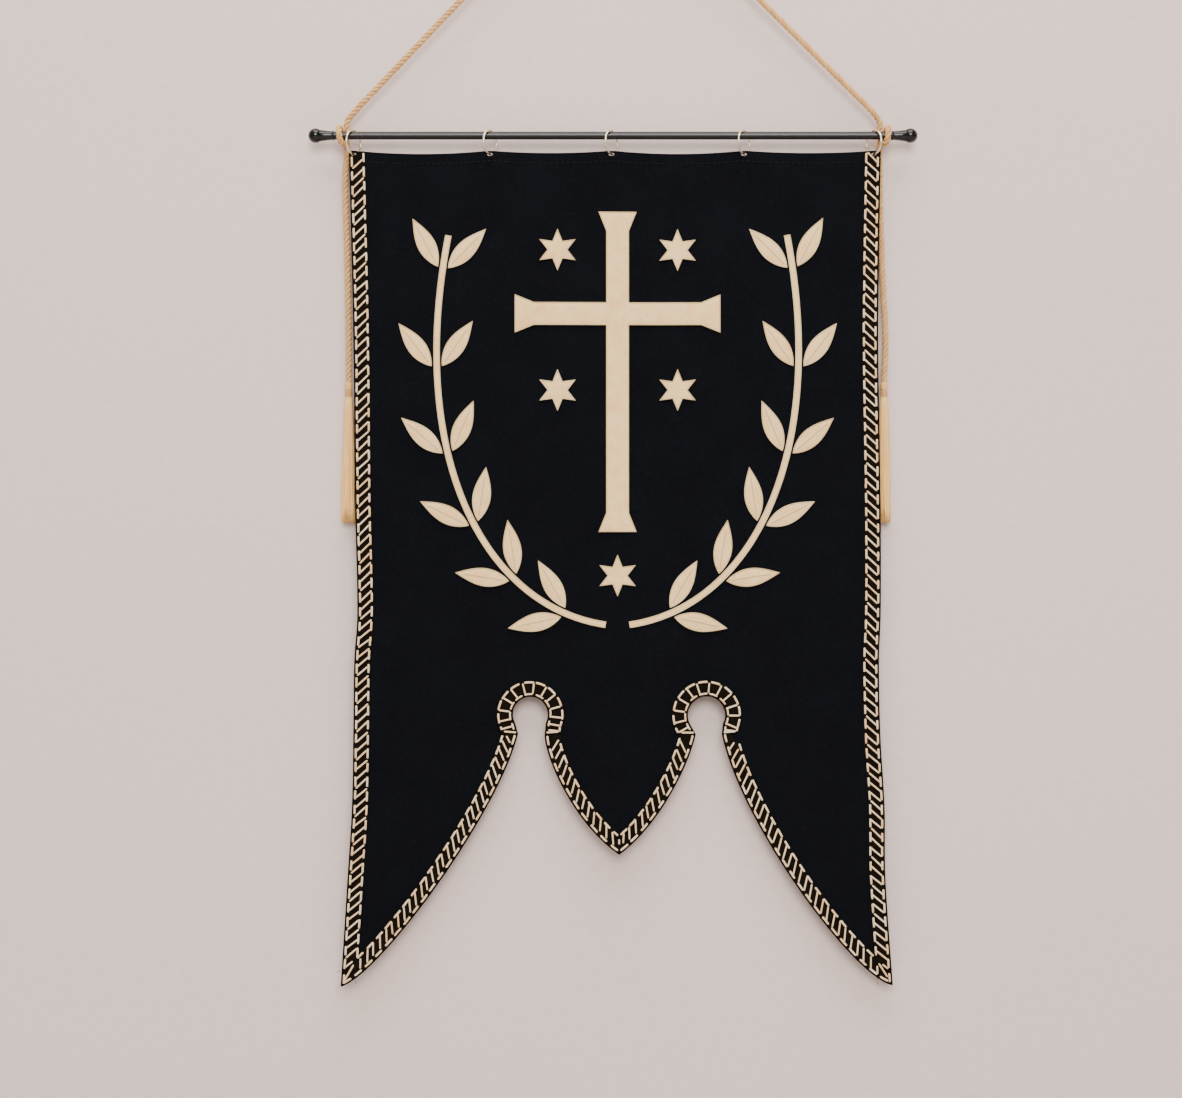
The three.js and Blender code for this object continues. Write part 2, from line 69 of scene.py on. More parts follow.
# The cloth's outline and waves, as its solids have them.
CLOTH = {"top": -329.8, "rise": 1.4, "sag": 3.2, "thickness": 2.0}
MIDDLE = 12.0
BRAID = {"width": 17.6, "thickness": 1.6}
SIDES = [
    {"drop": 0, "left": -283.4, "right": 301.3},
    {"drop": 190, "left": -278.8, "right": 298.6},
    {"drop": 380, "left": -276.6, "right": 301.2},
    {"drop": 502, "left": -273.8, "right": 301.3},
    {"drop": 560, "left": -277.2, "right": 299.2},
    {"drop": 640, "left": -278.2, "right": 300.6},
    {"drop": 720, "left": -279.7, "right": 305.2},
    {"drop": 800, "left": -284.6, "right": 306.4},
    {"drop": 917, "left": -291.8, "right": 315},
]
CENTRE_POINT = {"x": 13.9, "drop": 772.6}
KEYHOLES = [
    {"x": -83.9, "drop": 618.6, "radius": 19.3, "neck_drop": 640.2, "tail_neck": -97.4, "centre_neck": -68.2},
    {"x": 109.8, "drop": 619.3, "radius": 20.6, "neck_drop": 640.2, "tail_neck": 126.6, "centre_neck": 98},
]
HEAD_END = 28
BOWS = {
    "left_tail": [(0.248, 32.5), (0.898, 28.2)],
    "right_tail": [(0.283, 39.1), (0.915, 30.1)],
    "left_centre": [(0.115, 12.6), (0.641, 25.1)],
    "right_centre": [(0.184, 10.9), (0.656, 21)],
}

# The ivory cords on the mitres of the three tips: the edge each starts, and its shares of the mitre's length.
TIP_STROKES = {"left_tail": (0.17, 0.72), "centre_right": (0.5, 0.74), "right_side": (0.3, 0.78)}

# The braid's lengthwise cords, in an outer and an inner row: how far below the hem the sides' rows start,
# and how far from the mitres the rows keep. A tip is a sharp corner.
HEM_CLEAR = (6.4, 1.5)
ROW_CLEAR = {"inner": 1.5, "outer": 0.8, "outer_at_tip": -1.8, "outer_at_centre_tip": 1.0}
DASH = {"share": 0.68, "lead": 0.15, "shortest": 4, "uneven": 0.5, "wander": 0.15, "inner_margin": 1.6}
HEAD_DASH = {"share": 0.76, "pitches": (12.0, 14.4), "leads": (0.6, 0.15), "outer_thickness": 0.85}
HEAD_CLEAR = 0.2

# The cords that slant across between the rows, and how far past a row each of three in turn starts and ends.
BAR = {"thickness": 0.84, "lean": 5.4, "first": 0.35, "shortest": 7.0, "clear": 0.4, "clear_at_centre": 1.9}
BARS_ON_HEAD = 14
BAR_STARTS = (1, 0.8, 1.2)
BAR_ENDS = (0.3, 0.9, 0.1)
BAR_JOIN = {"left_tail": 1.9, "centre_left": 1.9, "centre_right": 1.9}
PLAIN_BAR_JOIN = 0.6

# The cords on the mitres of a keyhole's neck, as shares of the mitre's length, and how such cords differ.
NECK_STROKE = (0.12, 0.86)
STROKE = {"thickness": 0.88, "proud": 0.1, "clear": 0.4}

# How far a cord's middle stands from the braid, as a share of its radius, how far it keeps below the cloth's
# top, and the step in which it is tested.
CORD_PROUD = 0.35
CORD_BELOW_TOP = 1.0
CORD_STEP = 0.4
EYELET = {"width": 3.2, "height": 1.7, "below_ring": 0.1, "clear_across": 4.6, "clear_up": 3.4}
TEXTILE_PITCH = {"braid": 3.2, "applique": 2.6}

# The cloth's waves between the rings, its folds below them, and the curl of its tails.
WAVE = {"hem": 3.2, "hem_reach": 170, "fold": 2.4, "fold_pitch": 310, "fold_lean": 900}
CURL = {"left": -6, "right": 4, "reach": 290}

# The applique, placed by its drop below the cloth's top.
APPLIQUE_THICKNESS = 2.0
CROSS = {"height": 352, "arms": 226, "bar": 25, "flare": 42, "top_drop": 66, "arm_drop": 178}
SPRAY = {"stem": 7, "leaf_length": 60, "leaf_width": 20, "leaf_angle": 36, "leaf_gap": 2 * GAP + 1.5}
STATIONS = {"count": 6, "first": 0.12, "last": 0.95}
VEIN = {"from_root": 6, "from_tip": 9, "radius": 0.55}
SPRAY_PATH = [(13, 520), (150, 500), (232, 330), (186, 92)]
STAR = {"points": 6, "outer": 23, "inner": 11}
STARS = [(-66, 108), (66, 108), (-66, 262), (66, 262), (0, 466)]

# The figures' padding, their stitched rims, and the running stitches.
PADDING = {"crown": 0.9, "reach": 4.0}
RIM = {"pitch": 1.9, "inset": 0.45, "sunk": 0.15}
STITCH = {"shares": (0.15, 0.4, 0.75), "radii": [0.2, 0.35, 0.2], "proud": 0.05}
HEM_STITCHES = {"left": -262, "right": 280, "drop": 11}
BRAID_SEAMS = (2.0, BRAID["width"] - 1.5)

# The cord's route, as its solid has it: outwards from its run, back, and up from the rod.
CORD_DIAMETER = 7.0
CROWN = {"out": 8.5, "drop": 3.54, "run_shares": (0.05, 0.5, 0.95)}
HITCHES = {"left": (-1, -286.9), "right": (1, 302.2)}
HITCH_ROUTE = [
    (-12.3, 4.5, 30.4),
    (-0.8, 7.3, 16),
    (-0.6, 8.7, 4.4),
    (1.3, 6.3, -6.2),
    (3.5, 0, -8.8),
    (5.4, -6.2, -6.2),
    (6.4, -8.8, 0),
    (6.9, -6.2, 6.2),
    (7.1, 1.2, 9.1),
    (7, 10.1, 8.4),
    (3.6, 15.3, 1.5),
    (0, 15.3, -9),
]
DROPS = {"left": [(1.9, 45), (-0.6, 135), (-1.9, 225)], "right": [(-0.3, 45), (2, 135), (6, 225)]}
DROP_BACK = 12.8
TASSEL = {"drop": 269.5, "head": 17.6, "width": 8.0, "skirt": 138}
TASSEL_OUT = {"left": -1.9, "right": 4.4}
TASSEL_SEEDS = {"left": 3, "right": 8}
CORD_IN_TASSEL = 46
ROPE = {"step": 1.3, "swell": 1.03}

# A tassel's binding, whose radius follows the head's form and whose first turns are in the skirt's yarn.
HEAD_SHARES = [0, 0.06, 0.22, 0.38, 0.55, 0.7, 0.88, 1]
HEAD_RADII = [0.62, 0.86, 1.02, 0.98, 0.8, 0.98, 0.96, 0.74]
BINDING = {"turns": 19, "yarn_turns": 9, "steps": 20, "thickness": 0.62}

# A tassel's skirt: how far its yarns stand from the middle at their roots and ends, and how they differ.
SKIRT = {"root": 2.9, "end": 7.3, "curve": 0.6, "overlap": 2, "uneven": 12, "thin": 0.62, "thick": 0.82}
SWAY = {"wide": 0.7, "fine": 0.5, "across": (1, 2.3), "beside": (1.7, 3.1)}
GOLDEN_ANGLE = 2.39996

# The stage is in metres.
STAGE = {"size": 9, "floor": -1.55, "aim": (0, 0, -0.9)}


def smooth_fall(x):
    return x * x * (3 - 2 * x)


def at(x, drop):
    return Vector((x, CLOTH["top"] - drop))


def ring_place(x):
    """Where x lies among the rings: a whole number at each, counted from the left."""
    last = len(RINGS) - 2
    i = 0
    while i < last and x > RINGS[i + 1][0]:
        i += 1
    return i + (x - RINGS[i][0]) / (RINGS[i + 1][0] - RINGS[i][0])


def wave(x, z):
    """How far the cloth stands back (+) or forward (-) from the plane under the rod."""
    drop = max(CLOTH["top"] - z, 0)
    near_hem = math.exp(-drop / WAVE["hem_reach"])
    hem = WAVE["hem"] * math.sin(math.pi * ring_place(x)) * near_hem
    turn = 2 * math.pi * ((x - MIDDLE) / WAVE["fold_pitch"] + drop / WAVE["fold_lean"])
    fold = WAVE["fold"] * (1 - near_hem) * math.sin(turn)
    neck = KEYHOLES[0]["neck_drop"]
    tail = max(drop - neck, 0) / (SIDES[-1]["drop"] - neck)
    curl = CURL["left"] if x < MIDDLE else CURL["right"]
    return hem + fold + curl * tail**2 * min(abs(x - MIDDLE) / CURL["reach"], 1)


def top_edge(x):
    place = min(max(ring_place(x), 0), len(RINGS) - 1)
    part = place - math.floor(place)
    return CLOTH["top"] + CLOTH["rise"] - CLOTH["sag"] * 4 * part * (1 - part)


def catmull(points, steps, power=0.25):
    """Points along a Catmull-Rom curve: power 0.25 for the centripetal kind, 0 for the uniform one."""
    points = [np.array(p, float) for p in points]
    if power:
        padded = [2 * points[0] - points[1], *points, 2 * points[-1] - points[-2]]
    else:
        padded = [points[0], *points, points[-1]]
    out = []
    for p0, p1, p2, p3 in zip(padded, padded[1:], padded[2:], padded[3:]):
        apart = [float(((b - a) ** 2).sum()) for a, b in ((p0, p1), (p1, p2), (p2, p3))]
        d0, d1, d2 = [max(square, 1e-8) ** power for square in apart]
        t1 = ((p1 - p0) / d0 - (p2 - p0) / (d0 + d1) + (p2 - p1) / d1) * d1
        t2 = ((p2 - p1) / d1 - (p3 - p1) / (d1 + d2) + (p3 - p2) / d2) * d1
        for j in range(steps):
            t = j / steps
            out.append(
                p1 + t1 * t + (-3 * p1 + 3 * p2 - 2 * t1 - t2) * t * t + (2 * p1 - 2 * p2 + t1 + t2) * t**3
            )
    out.append(points[-1])
    return out


def running(line):
    """How far along a line each of its points lies."""
    return np.concatenate([[0], np.cumsum(np.linalg.norm(np.diff(line, axis=0), axis=1))])


def evenly(points, pitch):
    """The same line with its points about one pitch apart."""
    line = np.array(points, float)
    lengths = running(line)
    count = max(int(round(lengths[-1] / pitch)), 1)
    wanted = np.linspace(0, lengths[-1], count + 1)
    return np.stack([np.interp(wanted, lengths, line[:, k]) for k in range(line.shape[1])], axis=1)


def with_steps(outline, pitch):
    """A closed outline with points added, so that no step is longer than a pitch."""
    out = []
    for a, b in zip(outline, outline[1:] + outline[:1]):
        count = max(int(round((b - a).length / pitch)), 1)
        out += [a.lerp(b, i / count) for i in range(count)]
    return out


def side_edge(side):
    return [Vector(p) for p in catmull([at(row[side], row["drop"]) for row in SIDES], 8, 0)]


def bowed_edge(start, end, bow):
    """A curved edge, whose bow gives two points by their share of the way and their distance outwards."""
    way = end - start
    out = Vector((way.y, -way.x)).normalized()
    a, b = [start + way * along + out * far for along, far in bow]
    return [bezier((start, a, b, end), i / 40)[0] for i in range(41)]


def from_far_end(bow):
    return [(1 - along, out) for along, out in reversed(bow)]


def keyhole_edge(hole):
    """The round edge of a keyhole, from one side of its neck to the other."""
    necks = sorted((hole["tail_neck"], hole["centre_neck"]))
    points = [at(necks[0], hole["neck_drop"])]
    for i in range(49):
        turn = math.radians(180 + HEAD_END - (180 + 2 * HEAD_END) * i / 48)
        radius = hole["radius"]
        points.append(at(hole["x"] + radius * math.cos(turn), hole["drop"] - radius * math.sin(turn)))
    return points + [at(necks[1], hole["neck_drop"])]


def braided_edges():
    """The cloth's edges that have braid, in order round the outline, with the cloth on their left."""
    left, right = KEYHOLES
    foot = SIDES[-1]
    left_tip, right_tip = at(foot["left"], foot["drop"]), at(foot["right"], foot["drop"])
    centre_tip = at(CENTRE_POINT["x"], CENTRE_POINT["drop"])
    tail_neck = [at(hole["tail_neck"], hole["neck_drop"]) for hole in KEYHOLES]
    centre_neck = [at(hole["centre_neck"], hole["neck_drop"]) for hole in KEYHOLES]
    return {
        "left_side": side_edge("left"),
        "left_tail": bowed_edge(left_tip, tail_neck[0], from_far_end(BOWS["left_tail"])),
        "left_keyhole": keyhole_edge(left),
        "centre_left": bowed_edge(centre_neck[0], centre_tip, BOWS["left_centre"]),
        "centre_right": bowed_edge(centre_tip, centre_neck[1], from_far_end(BOWS["right_centre"])),
        "right_keyhole": keyhole_edge(right),
        "right_tail": bowed_edge(tail_neck[1], right_tip, BOWS["right_tail"]),
        "right_side": list(reversed(side_edge("right"))),
    }


def left_of(way):
    return Vector((-way.y, way.x))


def inside_line(chain, width):
    """The line at a distance inside a chain of points that keeps the cloth on its left."""
    last = len(chain) - 1
    out = []
    for i, point in enumerate(chain):
        before = (chain[max(i, 1)] - chain[max(i - 1, 0)]).normalized()
        after = (chain[min(i + 1, last)] - chain[min(i, last - 1)]).normalized()
        way = (left_of(before) + left_of(after)).normalized()
        out.append(point + way * (width / way.dot(left_of(before))))
    return out


def clipped(outline, foot, across):
    """The part of an outline on the far side of a line through foot, where across points."""
    kept = []
    for i, b in enumerate(outline):
        a = outline[i - 1]
        da, db = (a - foot).dot(across), (b - foot).dot(across)
        if (da < 0) != (db < 0):
            kept.append(a.lerp(b, da / (da - db)))
        if db >= 0:
            kept.append(b)
    return kept


def mitre(edge, neighbour):
    """The mitre at an edge's first point: its place, the ways across and along it, and its half angle."""
    corner = edge[0]
    far = 1.5 * BRAID["width"]
    own = (next(p for p in edge if (p - corner).length > far) - corner).normalized()
    other = (next(p for p in neighbour if (p - corner).length > far) - corner).normalized()
    inwards = (own + other).normalized()
    across = left_of(inwards)
    if across.dot(own) < 0:
        across = -across
    half = math.acos(min(own.dot(inwards), 1))
    length = BRAID["width"] / math.sin(half)
    return {"foot": corner + across * (GAP / 2), "across": across, "inwards": inwards * length, "half": half}


def mitres_of(edges, name):
    """The mitres at an edge's start and end, with None at the hem."""
    names = list(edges)
    i = names.index(name)
    start = mitre(edges[name], edges[names[i - 1]][::-1]) if i else None
    end = mitre(edges[name][::-1], edges[names[i + 1]]) if i < len(names) - 1 else None
    return start, end


def inside(outline, points):
    """Which of the points lie inside a closed outline."""
    ring = np.array([tuple(p) for p in outline])
    x, y = points[:, 0], points[:, 1]
    result = np.zeros(len(points), bool)
    for (ax, ay), (bx, by) in zip(ring, np.roll(ring, -1, axis=0)):
        if ay != by:
            result ^= ((ay > y) != (by > y)) & (x < (bx - ax) * (y - ay) / (by - ay) + ax)
    return result


def filled(outline, pitch, holes=()):
    """Points and triangles that fill an outline, and each point's distance from its rim."""
    outline = [Vector(p) for p in outline]
    rim = [tuple(p) for p in with_steps(outline, pitch)]
    loops = [rim] + [[tuple(p) for p in hole] for hole in holes]
    borders = [p for loop in loops for p in loop]
    close = borders + [tuple(p) for p in with_steps(outline, 0.6)]
    low, high = np.min(rim, axis=0), np.max(rim, axis=0)
    rows = []
    for j in range(int((high[1] - low[1]) / (pitch * 0.87)) + 1):
        shift = pitch / 2 * (j % 2)
        xs = np.arange(low[0] + shift, high[0], pitch)
        rows.append(np.stack([xs, np.full(len(xs), low[1] + (j + 0.5) * pitch * 0.87)], axis=1))
    field = np.concatenate(rows)
    tree = kdtree.KDTree(len(close))
    for i, p in enumerate(close):
        tree.insert((p[0], p[1], 0), i)
    tree.balance()
    field = field[inside(rim, field)]
    for hole in holes:
        field = field[~inside(hole, field)]
    far = np.array([tree.find((x, y, 0))[2] for x, y in field]) if len(field) else np.zeros(0)
    field = field[far > 0.6 * pitch]
    edges = []
    for loop in loops:
        start, count = len(edges), len(loop)
        edges += [(start + i, start + (i + 1) % count) for i in range(count)]
    points = [Vector(p) for p in [*borders, *field]]
    made, _, faces, *_ = delaunay_2d_cdt(points, edges, [list(range(len(rim)))], 1, 1e-5)
    flat = np.array([tuple(p) for p in made])
    middles = np.array([flat[list(f)].mean(axis=0) for f in faces])
    keep = inside(rim, middles)
    for hole in holes:
        keep &= ~inside(hole, middles)
    faces = [tuple(f) for f, k in zip(faces, keep) if k]
    distance = np.array([tree.find((x, y, 0))[2] for x, y in flat])
    return flat, faces, distance


def mesh_object(name, verts, faces, materials, uvs=None, indices=None):
    mesh = bpy.data.meshes.new(name)
    mesh.from_pydata([tuple(v) for v in np.asarray(verts) * MM], [], faces)
    for material in materials:
        mesh.materials.append(material)
    if uvs is not None:
        layer = mesh.uv_layers.new(name="thread")
        layer.data.foreach_set("uv", np.asarray(uvs, np.float32).ravel())
    if indices is not None:
        mesh.polygons.foreach_set("material_index", indices)
    mesh.polygons.foreach_set("use_smooth", [True] * len(mesh.polygons))
    mesh.update()
    piece = bpy.data.objects.new(name, mesh)
    bpy.context.scene.collection.objects.link(piece)
    return piece


def only(piece):
    """Makes a piece the one that is selected and active."""
    bpy.ops.object.select_all(action="DESELECT")
    piece.select_set(True)
    bpy.context.view_layer.objects.active = piece


def sharpen(piece):
    """Smooths a piece, apart from its edges of 40 degrees and more."""
    only(piece)
    bpy.ops.object.shade_smooth_by_angle(angle=math.radians(40))


def textile(name, outline, pitch, front, back, materials, crown=0.0, crown_reach=5.0, holes=()):
    """A closed sheet on the cloth's waves, whose face may swell between its edges."""
    flat, faces, distance = filled(outline, pitch, holes)
    swell = crown * np.array([smooth_fall(min(d / crown_reach, 1)) for d in distance])
    waves = np.array([wave(x, z) for x, z in flat])
    face = np.stack([flat[:, 0], waves + front - swell, flat[:, 1]], axis=1)
    rear = np.stack([flat[:, 0], waves + back, flat[:, 1]], axis=1)
    count = len(flat)
    both = [tuple(f) for f in faces] + [tuple(count + i for i in reversed(f)) for f in faces]
    used = dict.fromkeys(pair for f in faces for pair in zip(f, f[1:] + f[:1]))
    both += [(b, a, count + a, count + b) for a, b in used if (b, a) not in used]
    piece = mesh_object(name, np.concatenate([face, rear]), both, materials)
    mesh = bmesh.new()
    mesh.from_mesh(piece.data)
    bmesh.ops.delete(mesh, geom=[v for v in mesh.verts if not v.link_faces], context="VERTS")
    bmesh.ops.recalc_face_normals(mesh, faces=mesh.faces)
    mesh.to_mesh(piece.data)
    mesh.free()
    sharpen(piece)
    return piece


def frames(points, closed=False):
    """Two ways across a line at each of its points, which turn with it and not about it."""
    if closed:
        tangents = np.roll(points, -1, axis=0) - np.roll(points, 1, axis=0)
    else:
        tangents = np.gradient(points, axis=0)
    tangents /= np.maximum(np.linalg.norm(tangents, axis=1), 1e-9)[:, None]
    guide = np.array([0.0, 1.0, 0.0]) if abs(tangents[0][1]) < 0.9 else np.array([1.0, 0.0, 0.0])
    side = np.cross(tangents[0], guide)
    sides = []
    for tangent in tangents:
        side = side - tangent * side.dot(tangent)
        side /= np.linalg.norm(side)
        sides.append(side)
    sides = np.array(sides)
    return sides, np.cross(tangents, sides)


class Bundle:
    """Many tubes gathered into one mesh, each with its length and its turn round it in the thread map."""

    def __init__(self):
        self.verts = []
        self.faces = []
        self.uvs = []
        self.indices = []

    def tube(self, points, radii, sides, index=0, closed=False, lot=0):
        """One tube with its material index and its lot, which parts it from others in the thread map."""
        points = np.asarray(points, float)
        count = len(points)
        radii = np.broadcast_to(np.asarray(radii, float), (count,))[:, None, None]
        across, beside = frames(points, closed)
        turns = 2 * np.pi * np.arange(sides) / sides
        cos, sin = np.cos(turns)[None, :, None], np.sin(turns)[None, :, None]
        ways = cos * across[:, None, :] + sin * beside[:, None, :]
        first = len(self.verts)
        self.verts.extend((points[:, None, :] + radii * ways).reshape(-1, 3).tolist())
        along = running(points)
        if closed:
            along = np.append(along, along[-1] + np.linalg.norm(points[0] - points[-1]))
        for i in range(count if closed else count - 1):
            near = first + i * sides
            far = first + (i + 1) % count * sides
            for k in range(sides):
                m = (k + 1) % sides
                self.faces.append((near + k, near + m, far + m, far + k))
                u0, u1, v0, v1 = along[i], along[i + 1], lot + k / sides, lot + (k + 1) / sides
                self.uvs.extend([(u0, v0), (u0, v1), (u1, v1), (u1, v0)])
                self.indices.append(index)
        if not closed:
            for row, flip in ((0, True), (count - 1, False)):
                loop = [first + row * sides + k for k in range(sides)]
                self.faces.append(tuple(reversed(loop)) if flip else tuple(loop))
                self.uvs.extend([(along[row], lot + 0.5)] * sides)
                self.indices.append(index)

    def piece(self, name, materials):
        return mesh_object(name, self.verts, self.faces, materials, self.uvs, self.indices)


def place(piece, slot, *nodes):
    """Rides a piece on the body, and puts it in the place of the solids that it stands for."""
    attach(piece, "root")
    if nodes:
        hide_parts(*nodes)


def node(tree, kind, links=None, **settings):
    """A shader node with its settings, and with sockets or values for its inputs."""
    made = tree.nodes.new(kind)
    for key, value in settings.items():
        setattr(made, key, value)
    for key, value in (links or {}).items():
        if isinstance(value, bpy.types.NodeSocket):
            tree.links.new(value, made.inputs[key])
        else:
            made.inputs[key].default_value = value
    return made


def maths(tree, operation, a, b=0.0):
    return node(tree, "ShaderNodeMath", {0: a, 1: b}, operation=operation).outputs[0]


def blended(tree, factor, a, b):
    return node(tree, "ShaderNodeMix", {0: factor, 6: a, 7: b}, data_type="RGBA").outputs[2]


def ranged(tree, value, low, high, start=0.0, end=1.0):
    """From low to high, as a value goes from start to end."""
    return node(tree, "ShaderNodeMapRange", {0: value, 1: start, 2: end, 3: low, 4: high}).outputs[0]


def place_of(tree, stretch=(1, 1, 1)):
    spot = node(tree, "ShaderNodeTexCoord").outputs["Object"]
    return node(tree, "ShaderNodeMapping", {"Vector": spot, "Scale": stretch}).outputs[0]


def noise(tree, spot, scale, detail, **more):
    links = {"Vector": spot, "Scale": scale, "Detail": detail, **more}
    return node(tree, "ShaderNodeTexNoise", links).outputs[0]


def new_group(name, inputs, outputs):
    """A node group whose inputs and outputs are single values, with its inputs' and its outputs' sockets."""
    group = bpy.data.node_groups.new(name, "ShaderNodeTree")
    for label, value in inputs.items():
        socket = group.interface.new_socket(label, in_out="INPUT", socket_type="NodeSocketFloat")
        socket.default_value = value
    for label in outputs:
        group.interface.new_socket(label, in_out="OUTPUT", socket_type="NodeSocketFloat")
    return group, group.nodes.new("NodeGroupInput").outputs, group.nodes.new("NodeGroupOutput").inputs


def felt_group():
    """Matted fibres: a height for their relief, and masks for their mottling and their lint."""
    inputs = {"Fibre": 900.0, "Mottle": 22.0}
    group, given, result = new_group("felt_fibres", inputs, ("Height", "Mottling", "Lint"))
    spot = node(group, "ShaderNodeTexCoord").outputs["Object"]
    warp = node(group, "ShaderNodeTexNoise", {"Vector": spot, "Scale": 160.0, "Detail": 2.0}).outputs["Color"]
    reach = {0: warp, 1: (0.004, 0.004, 0.004)}
    bent = node(group, "ShaderNodeVectorMath", reach, operation="MULTIPLY").outputs[0]
    moved = node(group, "ShaderNodeVectorMath", {0: spot, 1: bent}, operation="ADD").outputs[0]
    fine = noise(group, moved, given["Fibre"], 4.0, Roughness=0.7)
    cells = {"Vector": moved, "Scale": given["Fibre"]}
    hairs = node(group, "ShaderNodeTexVoronoi", cells, feature="DISTANCE_TO_EDGE").outputs[0]
    lint = noise(group, moved, 420.0, 3.0)
    group.links.new(maths(group, "ADD", fine, maths(group, "MULTIPLY", hairs, 0.6)), result["Height"])
    group.links.new(noise(group, spot, given["Mottle"], 5.0, Roughness=0.6), result["Mottling"])
    group.links.new(maths(group, "POWER", lint, 4.0), result["Lint"])
    return group


def yarn_group():
    """Twisted thread from the thread map, which holds millimetres along it and turns round it."""
    inputs = {"Pitch": 0.8, "Lean": 0.0}
    group, given, result = new_group("yarn_twist", inputs, ("Height", "Lot", "Wear"))
    chart = node(group, "ShaderNodeUVMap", uv_map="thread").outputs[0]
    parts = node(group, "ShaderNodeSeparateXYZ", {0: chart}).outputs
    along = maths(group, "DIVIDE", parts[0], given["Pitch"])
    turned = maths(group, "ADD", along, maths(group, "MULTIPLY", parts[1], given["Lean"]))
    ply = maths(group, "ABSOLUTE", maths(group, "SINE", maths(group, "MULTIPLY", turned, math.pi)))
    lots = node(group, "ShaderNodeTexWhiteNoise", {1: maths(group, "FLOOR", parts[1])}, noise_dimensions="1D")
    spot = node(group, "ShaderNodeTexCoord").outputs["Object"]
    hairs = noise(group, spot, 1400.0, 2.0)
    group.links.new(maths(group, "ADD", ply, maths(group, "MULTIPLY", hairs, 0.5)), result["Height"])
    group.links.new(lots.outputs["Value"], result["Lot"])
    group.links.new(noise(group, spot, 45.0, 3.0), result["Wear"])
    return group


GROUP_MAKERS = {"felt": felt_group, "yarn": yarn_group}
GROUPS = {}


def grouped(tree, key, **values):
    """A node that holds one of the groups, which is made at its first use."""
    if key not in GROUPS:
        GROUPS[key] = GROUP_MAKERS[key]()
    return node(tree, "ShaderNodeGroup", values, node_tree=GROUPS[key]).outputs


def linear(colour):
    """A colour given as it shows on a screen, from 0 to 255, as linear light."""
    shares = [value / 255 for value in colour]
    return (*[s / 12.92 if s <= 0.04045 else ((s + 0.055) / 1.055) ** 2.4 for s in shares], 1.0)


def changed(colour, times, more=0.0):
    """A linear colour made paler or darker."""
    return (*[min(c * times + more, 1) for c in colour[:3]], 1)


def shader(name):
    material = bpy.data.materials.new(name)
    material.use_nodes = True
    tree = material.node_tree
    return material, tree, tree.nodes["Principled BSDF"]


def set_inputs(shader_node, **values):
    for key, value in values.items():
        shader_node.inputs[key.replace("_", " ")].default_value = value


def bumped(tree, principled, height, distance, strength=1.0):
    bump = node(tree, "ShaderNodeBump", {"Height": height, "Distance": distance, "Strength": strength})
    tree.links.new(bump.outputs[0], principled.inputs["Normal"])


def felt_material(name, dark, light, mottle, fibre, sheen):
    material, tree, principled = shader(name)
    fibres = grouped(tree, "felt", Fibre=fibre, Mottle=mottle)
    colour = blended(tree, ranged(tree, fibres["Mottling"], -0.4, 1.4), linear(dark), linear(light))
    linty = maths(tree, "MULTIPLY", fibres["Lint"], 1.2)
    paler = changed(linear(light), 1.9, 0.004)
    tree.links.new(blended(tree, linty, colour, paler), principled.inputs["Base Color"])
    set_inputs(principled, Roughness=1.0, Sheen_Weight=sheen, Sheen_Roughness=0.5, Specular_IOR_Level=0.08)
    bumped(tree, principled, fibres["Height"], 0.00022, 0.8)
    return material


def thread_material(
    name, first, second, worn, pitch, lean=0.0, relief=0.0002, depth=0.45, rough=0.7, sheen=0.2
):
    """Thread that varies from its first colour to its second, and is worn here and there.

    Its pitch and lean are those of its twist, and its depth is how strong the painted shade is that darkens
    it between its plies.
    """
    material, tree, principled = shader(name)
    first, second = linear(first), linear(second)
    yarn = grouped(tree, "yarn", Pitch=pitch, Lean=lean)
    colour = blended(tree, yarn["Lot"], first, second)
    colour = blended(tree, ranged(tree, yarn["Wear"], 0.0, 0.55, 0.45, 0.75), colour, linear(worn))
    # Painted shade: the low places between the plies are darkened towards a third of the first colour, by the
    # depth.
    painted_ply_shade = ranged(tree, yarn["Height"], depth, 0.0)
    tree.links.new(blended(tree, painted_ply_shade, colour, changed(first, 0.35)), principled.inputs["Base Color"])
    set_inputs(principled, Roughness=rough, Specular_IOR_Level=0.3)
    set_inputs(principled, Sheen_Weight=sheen, Sheen_Roughness=0.4, Sheen_Tint=second)
    bumped(tree, principled, yarn["Height"], relief)
    return material


def woven_material(name, colour, pitch):
    """A plain ribbed weave, such as the braid's black ground."""
    material, tree, principled = shader(name)
    parts = node(tree, "ShaderNodeSeparateXYZ", {0: place_of(tree)}).outputs
    waves = []
    for part in (parts[0], parts[2]):
        waves.append(maths(tree, "SINE", maths(tree, "MULTIPLY", part, math.pi / (pitch * MM))))
    weave = maths(tree, "MULTIPLY", waves[0], waves[1])
    wear = noise(tree, place_of(tree), 60.0, 4.0)
    faded = blended(tree, ranged(tree, wear, -0.3, 1.0), linear(colour), changed(linear(colour), 2.2, 0.002))
    tree.links.new(faded, principled.inputs["Base Color"])
    set_inputs(principled, Roughness=0.95, Sheen_Weight=0.02, Specular_IOR_Level=0.08)
    bumped(tree, principled, maths(tree, "ADD", weave, wear), 0.0002)
    return material


